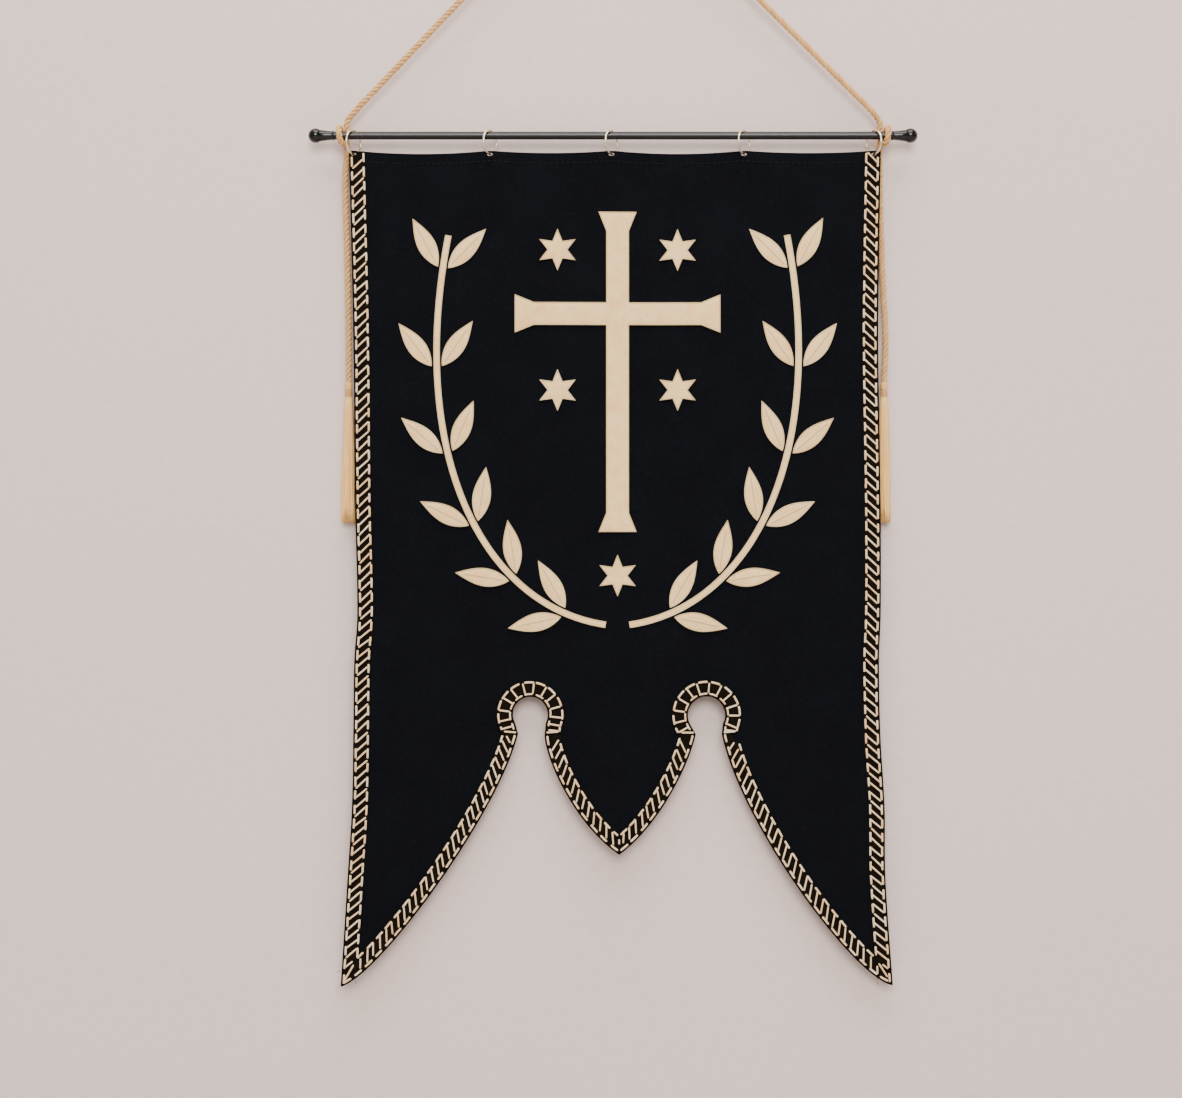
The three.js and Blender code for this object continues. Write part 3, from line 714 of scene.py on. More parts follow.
def lacquer_material(name, colour):
    """Glossy paint over a fine grain along the rod, with small pale scuffs."""
    material, tree, principled = shader(name)
    grain = noise(tree, place_of(tree, (0.12, 1, 1)), 260.0, 5.0)
    dust = noise(tree, place_of(tree), 700.0, 2.0)
    scuffs = ranged(tree, dust, 0.0, 1.0, 0.62, 0.8)
    scuffed = blended(tree, scuffs, linear(colour), changed(linear(colour), 3, 0.01))
    tree.links.new(scuffed, principled.inputs["Base Color"])
    tree.links.new(ranged(tree, maths(tree, "ADD", grain, scuffs), 0.2, 0.3), principled.inputs["Roughness"])
    set_inputs(principled, Coat_Weight=0.4, Coat_Roughness=0.14, Specular_IOR_Level=0.24)
    bumped(tree, principled, grain, 0.00006, 0.5)
    return material


def brass_material(name, colour, dull):
    """Polished brass with dull spots and fine scratches."""
    material, tree, principled = shader(name)
    tarnish = noise(tree, place_of(tree), 240.0, 5.0)
    scratch = noise(tree, place_of(tree, (1, 1, 9)), 500.0, 3.0)
    spots = ranged(tree, tarnish, 0.0, 0.8, 0.5, 0.72)
    tree.links.new(blended(tree, spots, linear(colour), linear(dull)), principled.inputs["Base Color"])
    tree.links.new(ranged(tree, scratch, 0.16, 0.45), principled.inputs["Roughness"])
    set_inputs(principled, Metallic=1.0)
    bumped(tree, principled, scratch, 0.00004, 0.6)
    return material


def backdrop_material(name, low, high):
    """A pale matt surface, which can be seen through from behind."""
    made, tree, principled = shader(name)
    grain = noise(tree, place_of(tree), 110.0, 4.0)
    cloud = noise(tree, place_of(tree), 2.0, 3.0)
    both = maths(tree, "ADD", maths(tree, "MULTIPLY", grain, 0.7), maths(tree, "MULTIPLY", cloud, 0.3))
    tree.links.new(blended(tree, both, linear(low), linear(high)), principled.inputs["Base Color"])
    set_inputs(principled, Roughness=0.95, Specular_IOR_Level=0.1)
    clear = node(tree, "ShaderNodeBsdfTransparent")
    behind = node(tree, "ShaderNodeNewGeometry").outputs["Backfacing"]
    mix = node(tree, "ShaderNodeMixShader", {0: behind, 1: principled.outputs[0], 2: clear.outputs[0]})
    tree.links.new(mix.outputs[0], tree.nodes["Material Output"].inputs["Surface"])
    return made


MATERIAL_MAKERS = {
    "felt": lambda: felt_material("felt_blue_black", (2, 3, 7), (7, 9, 15), 18.0, 900.0, 0.06),
    "felt_cream": lambda: felt_material("felt_cream", (246, 190, 122), (255, 222, 158), 60.0, 700.0, 0.05),
    "braid": lambda: woven_material("braid_black", (11, 6, 2), pitch=1.1),
    "braid_cord": lambda: thread_material(
        "braid_ivory", (255, 237, 200), (255, 218, 166), (242, 172, 108), 0.7, depth=0.1, sheen=0.3
    ),
    "edging": lambda: thread_material("edging_straw", (238, 218, 172), (220, 192, 142), (196, 162, 112), 0.6),
    "seam": lambda: thread_material(
        "seam_dark", (5, 6, 10), (8, 9, 13), (10, 10, 14), 0.5, lean=1.0, relief=0.0001, sheen=0.02
    ),
    "rod": lambda: lacquer_material("lacquer_black", (5, 5, 5)),
    "brass": lambda: brass_material("brass_pale", (255, 242, 208), (222, 192, 138)),
    "cord": lambda: thread_material(
        "cord_tan", (222, 168, 106), (230, 186, 124), (202, 146, 92), 2.2, 3.0, 0.0003, depth=0.25, sheen=0.3
    ),
    "tassel": lambda: thread_material(
        "tassel_cream", (255, 202, 120), (255, 213, 134), (252, 188, 108), 1.6, 2.0, depth=0.08, sheen=0.4
    ),
    "gold": lambda: thread_material(
        "tassel_gold", (222, 166, 96), (232, 184, 120), (186, 130, 70), 0.8, 1.0, rough=0.45, sheen=0.3
    ),
}
MATERIALS = {}


def material(key):
    if key not in MATERIALS:
        MATERIALS[key] = MATERIAL_MAKERS[key]()
    return MATERIALS[key]


def settle(piece, name, key):
    """A primitive's name, smooth faces and material, with its place kept in its mesh."""
    piece.name = piece.data.name = name
    only(piece)
    bpy.ops.object.transform_apply(location=True, rotation=True, scale=True)
    piece.data.materials.append(material(key))
    sharpen(piece)
    return piece


def lathe(name, key, profile, steps, location, rotation):
    """A profile of radius and height, spun round its upright axis and then put in its place."""
    bpy.ops.object.select_all(action="DESELECT")
    bpy.ops.mesh.primitive_plane_add(size=MM, location=(0, 0, 0))
    piece = bpy.context.object
    only(piece)
    bpy.ops.object.mode_set(mode="EDIT")
    bpy.ops.mesh.select_all(action="SELECT")
    bpy.ops.mesh.merge(type="CENTER")
    r, h = profile[0]
    bpy.ops.transform.translate(value=(r * MM, 0, h * MM))
    for (r0, h0), (r1, h1) in zip(profile, profile[1:]):
        step = ((r1 - r0) * MM, 0, (h1 - h0) * MM)
        bpy.ops.mesh.extrude_region_move(TRANSFORM_OT_translate={"value": step})
    bpy.ops.mesh.select_all(action="SELECT")
    bpy.ops.mesh.spin(steps=steps, angle=2 * math.pi, center=(0, 0, 0), axis=(0, 0, 1))
    bpy.ops.mesh.select_all(action="SELECT")
    bpy.ops.mesh.remove_doubles(threshold=MM / 100)
    bpy.ops.mesh.normals_make_consistent(inside=False)
    bpy.ops.object.mode_set(mode="OBJECT")
    piece.location = [c * MM for c in location]
    piece.rotation_euler = rotation
    return settle(piece, name, key)


def cord_line():
    """The cord's centreline, from inside the left tassel over the hanging point to inside the right one."""
    halves = []
    for hand, (side, run) in HITCHES.items():
        points = [Vector((run + side * out, back, ROD["z"] + up)) for out, back, up in HITCH_ROUTE]
        points += [Vector((run + side * out, DROP_BACK, ROD["z"] - drop)) for out, drop in DROPS[hand]]
        points.append(Vector((run + side * TASSEL_OUT[hand], DROP_BACK, ROD["z"] - TASSEL["drop"])))
        crown = Vector((side * CROWN["out"], 0, -CROWN["drop"]))
        halves.append([crown, *[crown.lerp(points[0], share) for share in CROWN["run_shares"]], *points])
    left, right = halves
    line = catmull([*reversed(left), Vector((0, 0, CORD_DIAMETER / 2)), *right], 24)
    down = np.array((0, 0, -CORD_IN_TASSEL))
    return np.array([line[0] + down, line[0] + down / 2, *line, line[-1] + down / 2, line[-1] + down])


def cord_path():
    return evenly(cord_line(), ROPE["step"])


def make_cord(settings):
    """Three strands laid round the centreline."""
    line = cord_path()
    across, beside = frames(line)
    strand = CORD_DIAMETER / 2 / (1 + 2 / math.sqrt(3))
    away = CORD_DIAMETER / 2 - strand
    far = np.linspace(0, running(line)[-1], len(line))
    bundle = Bundle()
    for k in range(3):
        turn = 2 * np.pi * (far / (settings.cord_lay / MM) + k / 3)
        centre = line + away * (np.cos(turn)[:, None] * across + np.sin(turn)[:, None] * beside)
        bundle.tube(centre, strand * ROPE["swell"], 9, lot=k)
    place(bundle.piece("cord_rope", [material("cord")]), "cord", "hanging_cord")


def bind_head(bundle, top):
    """The binding: close turns over a waisted core, first of yarn and then of gold thread."""
    r, head = TASSEL["width"] / 2, TASSEL["head"]
    turns, steps = BINDING["turns"], BINDING["steps"]
    pitch = head / turns
    coil = []
    for i in range(turns * steps + 1):
        share = i / (turns * steps)
        radius = r * float(np.interp(share, HEAD_SHARES, HEAD_RADII)) - pitch / 2
        turn = 2 * math.pi * turns * share
        coil.append((top.x + radius * math.cos(turn), top.y + radius * math.sin(turn), top.z - head * share))
    yarn, gold = 0, 1
    for first, last, index in ((0, BINDING["yarn_turns"], yarn), (BINDING["yarn_turns"], turns, gold)):
        part = coil[first * steps : last * steps + 1]
        bundle.tube(part, pitch * BINDING["thickness"], 6, index=index, lot=first)
    core = [(top.x, top.y, top.z - head * share) for share in HEAD_SHARES]
    bundle.tube(core, [max(r * radius - pitch, 0.5) for radius in HEAD_RADII], 16, lot=3)


def sway(t, waves, swings):
    """How far a yarn sways at a share of its length, by a slow wave and a quick one."""
    slow, quick = [wave * math.pi * t for wave in waves]
    return SWAY["wide"] * math.sin(slow) * swings[0] + SWAY["fine"] * math.sin(quick + swings[1] * 3)


def hang_yarn(bundle, top, i, strands, chance):
    """One yarn of the skirt, which leaves the head's foot beside the others and spreads a little."""
    foot = top.z - TASSEL["head"] + SKIRT["overlap"]
    share = math.sqrt((i + 0.5) / strands)
    turn = i * GOLDEN_ANGLE
    root, end = SKIRT["root"] * share, SKIRT["end"] * share
    length = TASSEL["skirt"] - (chance.random() ** 2) * SKIRT["uneven"] + SKIRT["overlap"]
    swings = [chance.uniform(-1, 1) for _ in range(4)]
    points = []
    for j in range(13):
        t = j / 12
        away = root + (end - root) * t ** SKIRT["curve"]
        x = top.x + away * math.cos(turn) + sway(t, SWAY["across"], swings[:2]) * t
        y = top.y + away * math.sin(turn) + sway(t, SWAY["beside"], swings[2:]) * t
        points.append((x, y, foot - length * t))
    thick = chance.uniform(SKIRT["thin"], SKIRT["thick"])
    bundle.tube(points, [thick * q for q in (0.9, *[1] * 11, 0.75)], 5, lot=i + 10)


def make_tassel(hand, strands, seed):
    """A bound head over a skirt of loose yarn."""
    side, run = HITCHES[hand]
    top = Vector((run + side * TASSEL_OUT[hand], DROP_BACK, ROD["z"] - TASSEL["drop"] - GAP))
    chance = random.Random(seed)
    bundle = Bundle()
    bind_head(bundle, top)
    for i in range(strands):
        hang_yarn(bundle, top, i, strands, chance)
    piece = bundle.piece("tassel_" + hand + "_yarn", [material("tassel"), material("gold")])
    place(piece, "tassel", "tassel_" + hand)


def eyelet(x):
    """The hole in the hem that a ring passes through."""
    middle = RING_FOOT - EYELET["below_ring"]
    turns = np.linspace(0, 2 * np.pi, 14, endpoint=False)
    return [(x + EYELET["width"] * math.cos(a), middle + EYELET["height"] * math.sin(a)) for a in turns]


def cloth_outline():
    outline = []
    for edge in braided_edges().values():
        outline += edge[1:] if outline else edge
    right, left = outline[-1].x, outline[0].x
    top = [Vector((x, top_edge(x))) for x in np.linspace(right, left, 97)]
    return outline[1:-1] + top


def outline_area(outline):
    ring = np.array([tuple(p) for p in outline])
    x, y = ring[:, 0], ring[:, 1]
    return abs(float((x * np.roll(y, -1) - y * np.roll(x, -1)).sum())) / 2


def make_cloth(settings):
    half = CLOTH["thickness"] / 2
    holes = [eyelet(x) for x, _ in RINGS]
    pitch = settings.felt_pitch / MM
    piece = textile("felt_cloth", cloth_outline(), pitch, -half, half, [material("felt")], holes=holes)
    place(piece, "cloth", "cloth")


def on_waves(flat, y):
    """Points of a flat line set on the waves, a distance behind (+) or before (-) their middle."""
    flat = np.asarray([tuple(p) for p in flat], float)
    return np.stack([flat[:, 0], [wave(x, z) + y for x, z in flat], flat[:, 1]], axis=1)


def along_edge(chain):
    """A chain's points, ways and running lengths, about one millimetre apart."""
    line = evenly([tuple(p) for p in chain], 1.0)
    ways = np.gradient(line, axis=0)
    ways /= np.linalg.norm(ways, axis=1)[:, None]
    return line, ways, running(line)


def stroke(bundle, points, radius, lot, y):
    """A short raised cord with round ends."""
    line = evenly(points, 3.0) if len(points) > 2 else np.linspace(points[0], points[1], 4)
    flat = [Vector(p) for p in line]
    first, last = flat[0], flat[-1]
    flat = [first, first.lerp(flat[1], 0.25), *flat[1:-1], last.lerp(flat[-2], 0.25), last]
    radii = [radius * 0.5] + [radius] * (len(flat) - 2) + [radius * 0.5]
    bundle.tube(on_waves(flat, y), radii, 8, lot=lot)


class BraidCords:
    """The ivory cords on one length of braid, laid by their distance along its edge and inwards from it."""

    def __init__(self, name, settings, edges, face):
        self.name = name
        self.chance = random.Random(name)
        self.bundle = Bundle()
        self.radius = settings.braid_cord / MM / 2
        self.y = face - self.radius * CORD_PROUD
        self.corner = edges[name][0]
        self.ends = mitres_of(edges, name)
        self.mitres = [end for end in self.ends if end]
        self.line, self.ways, self.far = along_edge(edges[name])
        self.inwards = np.stack([-self.ways[:, 1], self.ways[:, 0]], axis=1)
        self.long = self.far[-1]
        self.rows = (settings.braid_margin / MM, BRAID["width"] - DASH["inner_margin"])
        self.head = name.endswith("keyhole")
        self.lots = iter(range(10000))

    def spot(self, s, out):
        i = int(np.argmin(np.abs(self.far - s)))
        return Vector(self.line[i] + self.inwards[i] * out)

    def clear(self, p, near):
        """Whether a point keeps off the mitres, and off the hem and the rings' eyelets."""
        near_mitre = any((p - end["foot"]).dot(end["across"]) < self.radius + near for end in self.mitres)
        beside = any(abs(p.x - x) < EYELET["clear_across"] for x, _ in RINGS)
        near_ring = beside and abs(p.y - RING_FOOT) < EYELET["clear_up"]
        return not near_mitre and not near_ring and p.y < CLOTH["top"] - CORD_BELOW_TOP

    def lay(self, points, thickness, near, shortest):
        """A cord along the part of a line that is clear, when that part is long enough."""
        lot = next(self.lots)
        fine = [Vector(p) for p in evenly([tuple(p) for p in points], CORD_STEP)]
        kept = [p for p in fine if self.clear(p, near)]
        if len(kept) * CORD_STEP >= shortest:
            stroke(self.bundle, [tuple(p) for p in kept], self.radius * thickness, lot, self.y)

    def reach(self, end, row, near):
        """How far from an end of the edge a row of dashes keeps."""
        return self.rows[row] / math.tan(end["half"]) + near if end else HEM_CLEAR[row]

    def row_clear(self, end, row):
        """How far a row keeps from the mitre at an end, beyond the mitre's own reach."""
        if row:
            return ROW_CLEAR["inner"]
        if end and end["half"] < 1:
            return ROW_CLEAR["outer_at_centre_tip" if self.name.startswith("centre") else "outer_at_tip"]
        return ROW_CLEAR["outer"]

    def row_on_head(self, row, pitch):
        """A keyhole's row: where it starts, its reach and its pitch."""
        hole = KEYHOLES[0 if self.name.startswith("left") else 1]
        pitch = HEAD_DASH["pitches"][row] * hole["radius"] / (hole["radius"] + self.rows[row])
        return HEAD_DASH["leads"][row] * pitch, 0, self.long, pitch

    def row_on_edge(self, row, pitch):
        """A straight or bowed edge's row: where it starts, its reach and its pitch."""
        low, high = [self.reach(end, row, self.row_clear(end, row)) for end in self.ends]
        high = self.long - high
        start = low
        if self.ends[0] and (row or not self.name.startswith("centre")):
            start = self.reach(self.ends[0], 0, -DASH["lead"] * pitch if row else ROW_CLEAR["outer_at_tip"])
        if self.name.endswith("_side") or start == low:
            # These rows have whole dashes at both ends.
            span = high - start + pitch * (1 - DASH["share"])
            pitch = span / round(span / pitch)
        return start, low, high, pitch

    def lay_dashes(self, pitch):
        """The two rows of cords that run lengthwise."""
        for row, out in enumerate(self.rows):
            start, low, high, own_pitch = (self.row_on_head if self.head else self.row_on_edge)(row, pitch)
            dash = own_pitch * (HEAD_DASH if self.head else DASH)["share"]
            thickness = HEAD_DASH["outer_thickness"] if self.head and not row else 1
            for i in range(-1, int(self.long / own_pitch) + 2):
                s0 = start + i * own_pitch + self.chance.uniform(-DASH["uneven"], DASH["uneven"])
                s0, s1 = max(s0, low), min(s0 + dash, high)
                if s1 - s0 < DASH["shortest"]:
                    continue
                wander = [self.chance.uniform(-DASH["wander"], DASH["wander"]) for _ in range(4)]
                points = [self.spot(s0 + (s1 - s0) * j / 3, out + wander[j]) for j in range(4)]
                self.lay(points, thickness, HEAD_CLEAR if self.head else -2 * self.radius, DASH["shortest"])

    def lay_bars(self, pitch):
        """The cords that slant from row to row, or stand straight round a keyhole."""
        count = BARS_ON_HEAD if self.head else int(self.long / pitch)
        joined = BAR_JOIN.get(self.name, PLAIN_BAR_JOIN)
        clear = self.radius + BAR["clear_at_centre" if self.name.startswith("centre") else "clear"]
        for i in range(count + 1):
            s = (i + BAR["first"]) * self.long / count
            index = min(max(int(round(s)), 0), len(self.ways) - 1)
            lean = 0.0 if self.head else BAR["lean"] * (1 if self.ways[index][1] > 0 else -1)
            if 0 <= s - abs(lean) and s + abs(lean) <= self.long:
                low = self.rows[0] + self.radius * joined * BAR_STARTS[i % 3]
                high = self.rows[1] - self.radius * BAR_ENDS[i % 3]
                ends = [self.spot(s - lean, low), self.spot(s + lean, high)]
                self.lay(ends, BAR["thickness"], HEAD_CLEAR if self.head else clear, BAR["shortest"])

    def lay_corners(self):
        """The cords on the mitres of the necks and the tips."""
        for end in self.mitres:
            if self.head:
                foot, shares = end["foot"] + end["across"] * (self.radius + STROKE["clear"]), NECK_STROKE
            elif end is self.ends[0] and self.name in TIP_STROKES:
                foot, shares = self.corner, TIP_STROKES[self.name]
            else:
                continue
            ends = [tuple(foot + end["inwards"] * share) for share in shares]
            radius = self.radius * STROKE["thickness"]
            stroke(self.bundle, ends, radius, next(self.lots), self.y - STROKE["proud"])


def make_braid(name, settings, edges):
    """One length of braid: its black ground, and the ivory cords laid on it."""
    chain = edges[name]
    outline = [*chain, *reversed(inside_line(chain, BRAID["width"]))]
    for end in mitres_of(edges, name):
        if end:
            outline = clipped(outline, end["foot"], end["across"])
    holes = []
    if name.endswith("_side"):
        holes = [eyelet(RINGS[0 if name == "left_side" else -1][0])]
    back = -CLOTH["thickness"] / 2 - GAP
    face = back - BRAID["thickness"]
    black, pitch = [material("braid")], TEXTILE_PITCH["braid"]
    ground = textile("braid_" + name + "_ground", outline, pitch, face, back, black, holes=holes)
    place(ground, "braid", "braid_" + name)
    cords = BraidCords(name, settings, edges, face)
    cords.lay_dashes(settings.dash_pitch / MM)
    cords.lay_bars(settings.bar_pitch / MM)
    cords.lay_corners()
    place(cords.bundle.piece("braid_" + name + "_cords", [material("braid_cord")]), "braid")


def cross_outline():
    b, f, a = CROSS["bar"] / 2, CROSS["flare"] / 2, CROSS["arms"] / 2
    c, height = CROSS["arm_drop"] - CROSS["top_drop"], CROSS["height"]
    right = [(f, 0), (b, f), (b, c - b), (a - f, c - b), (a, c - f), (a, c + f), (a - f, c + b), (b, c + b)]
    right += [(b, height - f), (f, height)]
    left = [(-x, drop) for x, drop in reversed(right)]
    return [at(MIDDLE + x, CROSS["top_drop"] + drop) for x, drop in right + left]


def star_outline(across, drop):
    corners = []
    for i in range(2 * STAR["points"]):
        radius = STAR["inner"] if i % 2 else STAR["outer"]
        turn = math.pi * i / STAR["points"]
        corners.append(at(MIDDLE + across + radius * math.sin(turn), drop - radius * math.cos(turn)))
    return corners


def leaf_outline(root, angle):
    """A leaf's outline, and the two ends of its vein."""
    way = Vector((math.cos(angle), math.sin(angle)))
    steps = 14
    halves = []
    for hand in (-1, 1):
        row = []
        for i in range(steps):
            share = i / steps
            out = hand * SPRAY["leaf_width"] * math.sin(math.pi * share**0.85) / 2
            row.append(root + way * (share * SPRAY["leaf_length"]) + left_of(way) * out)
        halves.append(row)
    tip = root + way * SPRAY["leaf_length"]
    vein = [root + way * VEIN["from_root"], tip - way * VEIN["from_tip"]]
    return [*halves[0], tip, *reversed(halves[1][1:])], vein


def bezier(path, t):
    a, b, c, d = path
    spot = a * (1 - t) ** 3 + b * 3 * t * (1 - t) ** 2 + c * 3 * t * t * (1 - t) + d * t**3
    way = (b - a) * (1 - t) ** 2 + (c - b) * 2 * t * (1 - t) + (d - c) * t * t
    return spot, way.normalized()


def spray_outlines(side):
    """A stem and its leaves, each with the line of its vein."""
    path = [at(MIDDLE + side * across, drop) for across, drop in SPRAY_PATH]
    line = [bezier(path, i / 48)[0] for i in range(49)]
    half = SPRAY["stem"] / 2
    made = [([*inside_line(line, -half), *reversed(inside_line(line, half))], None)]
    for i in range(STATIONS["count"]):
        t = STATIONS["first"] + (STATIONS["last"] - STATIONS["first"]) * i / (STATIONS["count"] - 1)
        spot, way = bezier(path, t)
        for hand in (-1, 1):
            root = spot + left_of(way) * (hand * (half + SPRAY["leaf_gap"]))
            angle = math.atan2(way.y, way.x) + hand * math.radians(SPRAY["leaf_angle"])
            made.append(leaf_outline(root, angle))
    return made


def make_motif(name, outline, vein, settings):
    """A padded figure of cream felt, with a satin-stitched rim and, on a leaf, a vein."""
    back = -CLOTH["thickness"] / 2 - GAP
    flat_face = back - APPLIQUE_THICKNESS
    face = flat_face + PADDING["crown"]
    area = sum((a.x * b.y - b.x * a.y) for a, b in zip(outline, outline[1:] + outline[:1]))
    if area < 0:
        outline = outline[::-1]
    felt, pitch = [material("felt_cream")], TEXTILE_PITCH["applique"]
    piece = textile("felt_" + name, outline, pitch, face, back, felt, PADDING["crown"], PADDING["reach"])
    place(piece, "applique", name)
    rim = with_steps(outline, RIM["pitch"])
    ring = []
    for i, point in enumerate(rim):
        before, after = (point - rim[i - 1]).normalized(), (rim[(i + 1) % len(rim)] - point).normalized()
        ring.append(point + (left_of(before) + left_of(after)).normalized() * RIM["inset"])
    bundle = Bundle()
    radius = settings.edging / MM / 2
    bundle.tube(on_waves(ring, face - RIM["sunk"]), radius, 7, closed=True, lot=sum(map(ord, name)) % 7)
    if vein:
        steps = [vein[0].lerp(vein[1], i / 12) for i in range(13)]
        bundle.tube(on_waves(steps, flat_face + 0.05), [0.25, *[VEIN["radius"]] * 11, 0.2], 7, lot=2)
    place(bundle.piece("edging_" + name, [material("edging")]), "applique")


def make_applique(settings):
    make_motif("applique_cross", cross_outline(), None, settings)
    for i, (across, drop) in enumerate(STARS):
        make_motif("applique_star_" + str(i + 1), star_outline(across, drop), None, settings)
    for hand, side in (("left", -1), ("right", 1)):
        for i, (outline, vein) in enumerate(spray_outlines(side)):
            name = "applique_" + hand + ("_leaf_" + str(i) if i else "_stem")
            make_motif(name, outline, vein, settings)


def running_stitches(bundle, chain, pitch, y, lot):
    """A line of running stitches along a chain, a distance behind (+) or before (-) the waves' middle."""
    line, _, far = along_edge(chain)
    for i in range(int(far[-1] / pitch)):
        spots = [(i + share) * pitch for share in STITCH["shares"]]
        points = [np.array([np.interp(s, far, line[:, k]) for k in (0, 1)]) for s in spots]
        bundle.tube(on_waves(points, y), STITCH["radii"], 5, lot=lot + i)


def make_seams(settings):
    """Running stitches: one line under the top hem on the face, and the braid's two lines on the back."""
    bundle = Bundle()
    pitch = settings.stitch_pitch / MM
    y = CLOTH["thickness"] / 2 + STITCH["proud"]
    xs = np.linspace(HEM_STITCHES["left"], HEM_STITCHES["right"], 120)
    running_stitches(bundle, [Vector((x, top_edge(x) - HEM_STITCHES["drop"])) for x in xs], pitch, -y, 5)
    lot = 0
    for chain in braided_edges().values():
        for width in BRAID_SEAMS:
            lot += 31
            running_stitches(bundle, inside_line(chain, width), pitch, y, lot)
    place(bundle.piece("seam_stitches", [material("seam")]), "cloth")


def make_rod():
    bpy.ops.object.select_all(action="DESELECT")
    long = ROD["right"] - ROD["left"] + 2 * (FINIAL["socket"] - GAP)
    bpy.ops.mesh.primitive_cylinder_add(
        vertices=64,
        radius=ROD["diameter"] / 2 * MM,
        depth=long * MM,
        location=((ROD["left"] + ROD["right"]) / 2 * MM, 0, ROD["z"] * MM),
        rotation=(0, math.pi / 2, 0),
    )
    place(settle(bpy.context.object, "rod_lacquered", "rod"), "black_rod", "rod")


def make_finials():
    """Each finial: a collar that takes the rod's end, a tapering neck and a ball."""
    length, ball, neck, socket = FINIAL["length"], FINIAL["ball"] / 2, FINIAL["neck"] / 2, FINIAL["socket"]
    inner = ROD["diameter"] / 2 + 0.15
    profile = [(0, socket), (inner, socket), (inner, 0.4), (inner + 0.2, 0)]
    profile += [(neck - 0.4, 0), (neck, 0.5), (neck, 1.6), (neck - 0.35, 2.1)]
    profile += [(neck - 0.25, 3.4), (neck + 0.1, length * 0.3), (neck + 0.45, length * 0.36)]
    for i in range(19):
        turn = math.radians(-38 + 128 * i / 18)
        radius = ball * math.cos(turn) if i < 18 else 0
        profile.append((radius, length - ball + ball * math.sin(turn)))
    for name, x, side in (("finial_left", ROD["left"], -1), ("finial_right", ROD["right"], 1)):
        finial = lathe(name + "_turned", "rod", profile, 48, (x, 0, ROD["z"]), (0, side * math.pi / 2, 0))
        place(finial, "black_rod", name)


def make_rings():
    for i, (x, yaw) in enumerate(RINGS):
        bpy.ops.object.select_all(action="DESELECT")
        bpy.ops.mesh.primitive_torus_add(
            major_segments=72,
            minor_segments=16,
            major_radius=(RING["diameter"] - RING["wire"]) / 2 * MM,
            minor_radius=RING["wire"] / 2 * MM,
            location=(x * MM, 0, RING_CENTRE * MM),
            rotation=(0, math.pi / 2, math.radians(yaw)),
        )
        ring = settle(bpy.context.object, "ring_" + str(i + 1) + "_brass", "brass")
        place(ring, "brass", "ring_" + str(i + 1))


def make_camera():
    lens = bpy.data.cameras.new("photo_camera")
    lens.sensor_width = 36
    lens.lens = 36 * CAMERA_DISTANCE / (PHOTO_WIDTH * PHOTO_SCALE)
    lens.clip_end = 50
    camera = bpy.data.objects.new("photo_camera", lens)
    camera.location = (PHOTO_MIDDLE[0] * MM, -CAMERA_DISTANCE * MM, PHOTO_MIDDLE[1] * MM)
    camera.rotation_euler = (math.pi / 2, 0, 0)
    bpy.context.scene.collection.objects.link(camera)
    bpy.context.scene.camera = camera


def backdrop(name, spot, tilt, surface):
    bpy.ops.object.select_all(action="DESELECT")
    bpy.ops.mesh.primitive_plane_add(size=STAGE["size"], location=spot, rotation=(tilt, 0, 0))
    plane = bpy.context.object
    plane.name = name
    plane.data.materials.append(surface)
    return plane


def make_lamp(name, spot, size, power, tint):
    """A soft lamp that is aimed at the banner."""
    data = bpy.data.lights.new("stage_" + name, "AREA")
    data.shape = "RECTANGLE"
    data.size, data.size_y = size
    data.energy = power
    data.color = tint
    lamp = bpy.data.objects.new("stage_" + name, data)
    lamp.location = spot
    lamp.rotation_euler = (Vector(STAGE["aim"]) - Vector(spot)).to_track_quat("-Z", "Y").to_euler()
    bpy.context.scene.collection.objects.link(lamp)


def make_stage(settings):
    plaster = backdrop_material("wall_plaster", (219, 201, 194), (239, 220, 213))
    grey = backdrop_material("floor_grey", (182, 176, 172), (198, 191, 187))
    low = STAGE["floor"]
    floor = backdrop("stage_floor", (0, 0, low), 0, grey)
    wall = backdrop("stage_wall", (0, settings.wall_gap, low + STAGE["size"] / 2), math.pi / 2, plaster)
    make_lamp("key", (0.2, -5.5, 1.3), (2.8, 2.6), 341, (1.0, 0.975, 0.95))
    make_lamp("top", (0.0, -1.6, 3.0), (3.4, 2.2), 194, (1.0, 0.945, 0.915))
    make_lamp("back", (0.6, 2.8, 0.6), (1.6, 1.6), 40, (1.0, 1.0, 1.0))
    world = bpy.context.scene.world or bpy.data.worlds.new("stage_world")
    bpy.context.scene.world = world
    world.use_nodes = True
    sky = world.node_tree.nodes["Background"]
    sky.inputs[0].default_value = (0.92, 0.92, 0.94, 1)
    sky.inputs[1].default_value = settings.sky


def size_property(name, description, default, low):
    return bpy.props.FloatProperty(
        name=name, description=description, default=default, min=low, unit="LENGTH"
    )


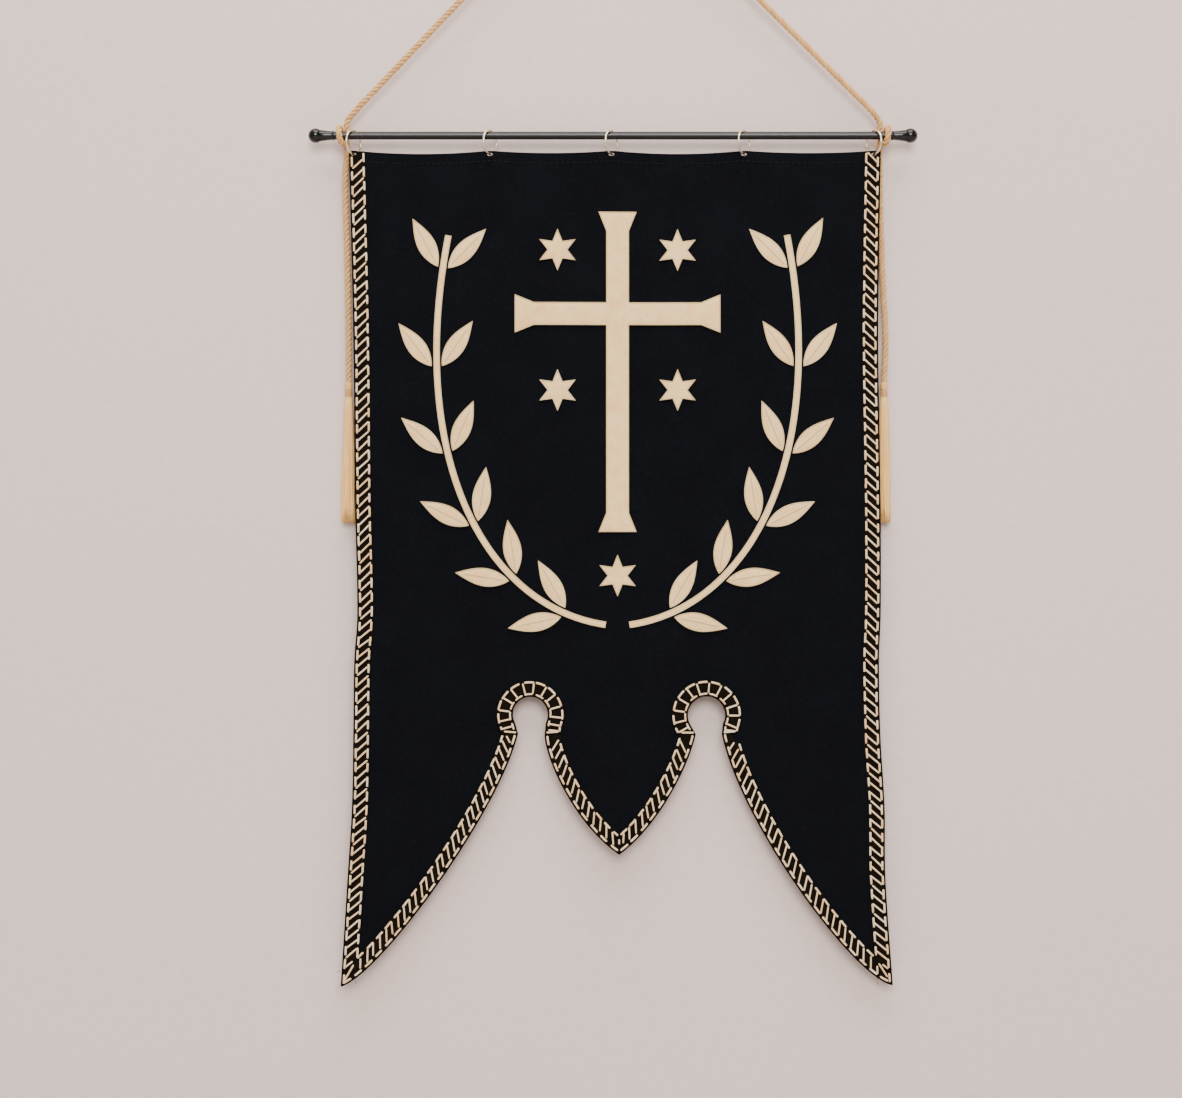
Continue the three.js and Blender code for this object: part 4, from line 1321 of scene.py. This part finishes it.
class BannerSettings(bpy.types.PropertyGroup):
    """The sizes that the banner's operators take."""

    felt_pitch: size_property("Felt pitch", "Distance between the cloth's points", 0.005, 0.002)
    cord_lay: size_property("Cord lay", "Length of one turn of the cord's strands", 0.0175, 0.005)
    cord_length: size_property("Cord length", "Length of the whole cord, tassel to tassel", 1.63, 0.5)
    braid_cord: size_property("Braid cord", "Thickness of the ivory cord on the braid", 0.0023, 0.001)
    braid_margin: size_property("Braid margin", "From the edge to the outer row of cords", 0.0031, 0.001)
    dash_pitch: size_property("Dash pitch", "From one lengthwise cord to the next", 0.0155, 0.005)
    bar_pitch: size_property("Bar pitch", "From one slanting cord to the next", 0.0103, 0.004)
    edging: size_property("Edging", "Thickness of the stitched rim of the figures", 0.0012, 0.0005)
    stitch_pitch: size_property("Stitch pitch", "From one running stitch to the next", 0.0062, 0.002)
    wall_gap: size_property("Wall gap", "From the rod's middle to the wall", 0.024, 0.02)
    strands: bpy.props.IntProperty(
        name="Strands", description="Yarns in the skirt of a tassel", default=150, min=20
    )
    sky: bpy.props.FloatProperty(
        name="Sky", description="Strength of the light from all round", default=0.325, min=0.0
    )


class BannerOperator:
    """What the banner's operators share."""

    bl_options = {"REGISTER", "UNDO"}

    def execute(self, context):
        self.build(context.scene.banner)
        return {"FINISHED"}


class BANNER_OT_camera(BannerOperator, bpy.types.Operator):
    """Sets up the camera that the photograph was taken from"""

    bl_idname = "banner.camera"
    bl_label = "Camera"

    def build(self, settings):
        make_camera()


class BANNER_OT_cord(BannerOperator, bpy.types.Operator):
    """Builds the hanging cord"""

    bl_idname = "banner.cord"
    bl_label = "Cord"

    def build(self, settings):
        make_cord(settings)


class BANNER_OT_tassels(BannerOperator, bpy.types.Operator):
    """Builds the two tassels"""

    bl_idname = "banner.tassels"
    bl_label = "Tassels"

    def build(self, settings):
        for hand, seed in TASSEL_SEEDS.items():
            make_tassel(hand, settings.strands, seed)
        line = cord_path() * MM


class BANNER_OT_cloth(BannerOperator, bpy.types.Operator):
    """Builds the cloth with its waves and its eyelets"""

    bl_idname = "banner.cloth"
    bl_label = "Cloth"

    def build(self, settings):
        make_cloth(settings)


class BANNER_OT_braid(BannerOperator, bpy.types.Operator):
    """Builds the eight lengths of braid and their ivory cords"""

    bl_idname = "banner.braid"
    bl_label = "Braid"

    def build(self, settings):
        edges = braided_edges()
        for name in edges:
            make_braid(name, settings, edges)


class BANNER_OT_applique(BannerOperator, bpy.types.Operator):
    """Builds the cross, the stars and the two sprays of leaves"""

    bl_idname = "banner.applique"
    bl_label = "Applique"

    def build(self, settings):
        make_applique(settings)


class BANNER_OT_seams(BannerOperator, bpy.types.Operator):
    """Builds the running stitches"""

    bl_idname = "banner.seams"
    bl_label = "Seams"

    def build(self, settings):
        make_seams(settings)
        outline_area(cloth_outline()) * MM * MM


class BANNER_OT_rod(BannerOperator, bpy.types.Operator):
    """Builds the rod"""

    bl_idname = "banner.rod"
    bl_label = "Rod"

    def build(self, settings):
        make_rod()


class BANNER_OT_finials(BannerOperator, bpy.types.Operator):
    """Builds the rod's two ball ends"""

    bl_idname = "banner.finials"
    bl_label = "Finials"

    def build(self, settings):
        make_finials()


class BANNER_OT_rings(BannerOperator, bpy.types.Operator):
    """Builds the five rings"""

    bl_idname = "banner.rings"
    bl_label = "Rings"

    def build(self, settings):
        make_rings()


class BANNER_OT_stage(BannerOperator, bpy.types.Operator):
    """Sets the wall, the floor and the lights"""

    bl_idname = "banner.stage"
    bl_label = "Stage"

    def build(self, settings):
        make_stage(settings)


OPERATORS = (
    BANNER_OT_camera,
    BANNER_OT_cord,
    BANNER_OT_tassels,
    BANNER_OT_cloth,
    BANNER_OT_braid,
    BANNER_OT_applique,
    BANNER_OT_seams,
    BANNER_OT_rod,
    BANNER_OT_finials,
    BANNER_OT_rings,
    BANNER_OT_stage,
)


class BANNER_PT_panel(bpy.types.Panel):
    """Lists the banner's operators in the sidebar"""

    bl_idname = "BANNER_PT_panel"
    bl_label = "Church Banner"
    bl_space_type = "VIEW_3D"
    bl_region_type = "UI"
    bl_category = "Banner"

    def draw(self, context):
        for operator in OPERATORS:
            self.layout.operator(operator.bl_idname)
        for name in BannerSettings.__annotations__:
            self.layout.prop(context.scene.banner, name)


def register():
    for kind in (BannerSettings, *OPERATORS, BANNER_PT_panel):
        bpy.utils.register_class(kind)
    bpy.types.Scene.banner = bpy.props.PointerProperty(type=BannerSettings)


def unregister():
    del bpy.types.Scene.banner
    for kind in reversed((BannerSettings, *OPERATORS, BANNER_PT_panel)):
        bpy.utils.unregister_class(kind)


def main():
    register()
    bpy.ops.banner.camera()
    bpy.ops.banner.cord()
    bpy.ops.banner.tassels()
    bpy.ops.banner.cloth()
    bpy.ops.banner.braid()
    bpy.ops.banner.applique()
    bpy.ops.banner.seams()
    bpy.ops.banner.rod()
    bpy.ops.banner.finials()
    bpy.ops.banner.rings()
    bpy.ops.banner.stage()


if __name__ == "__main__":
    main()
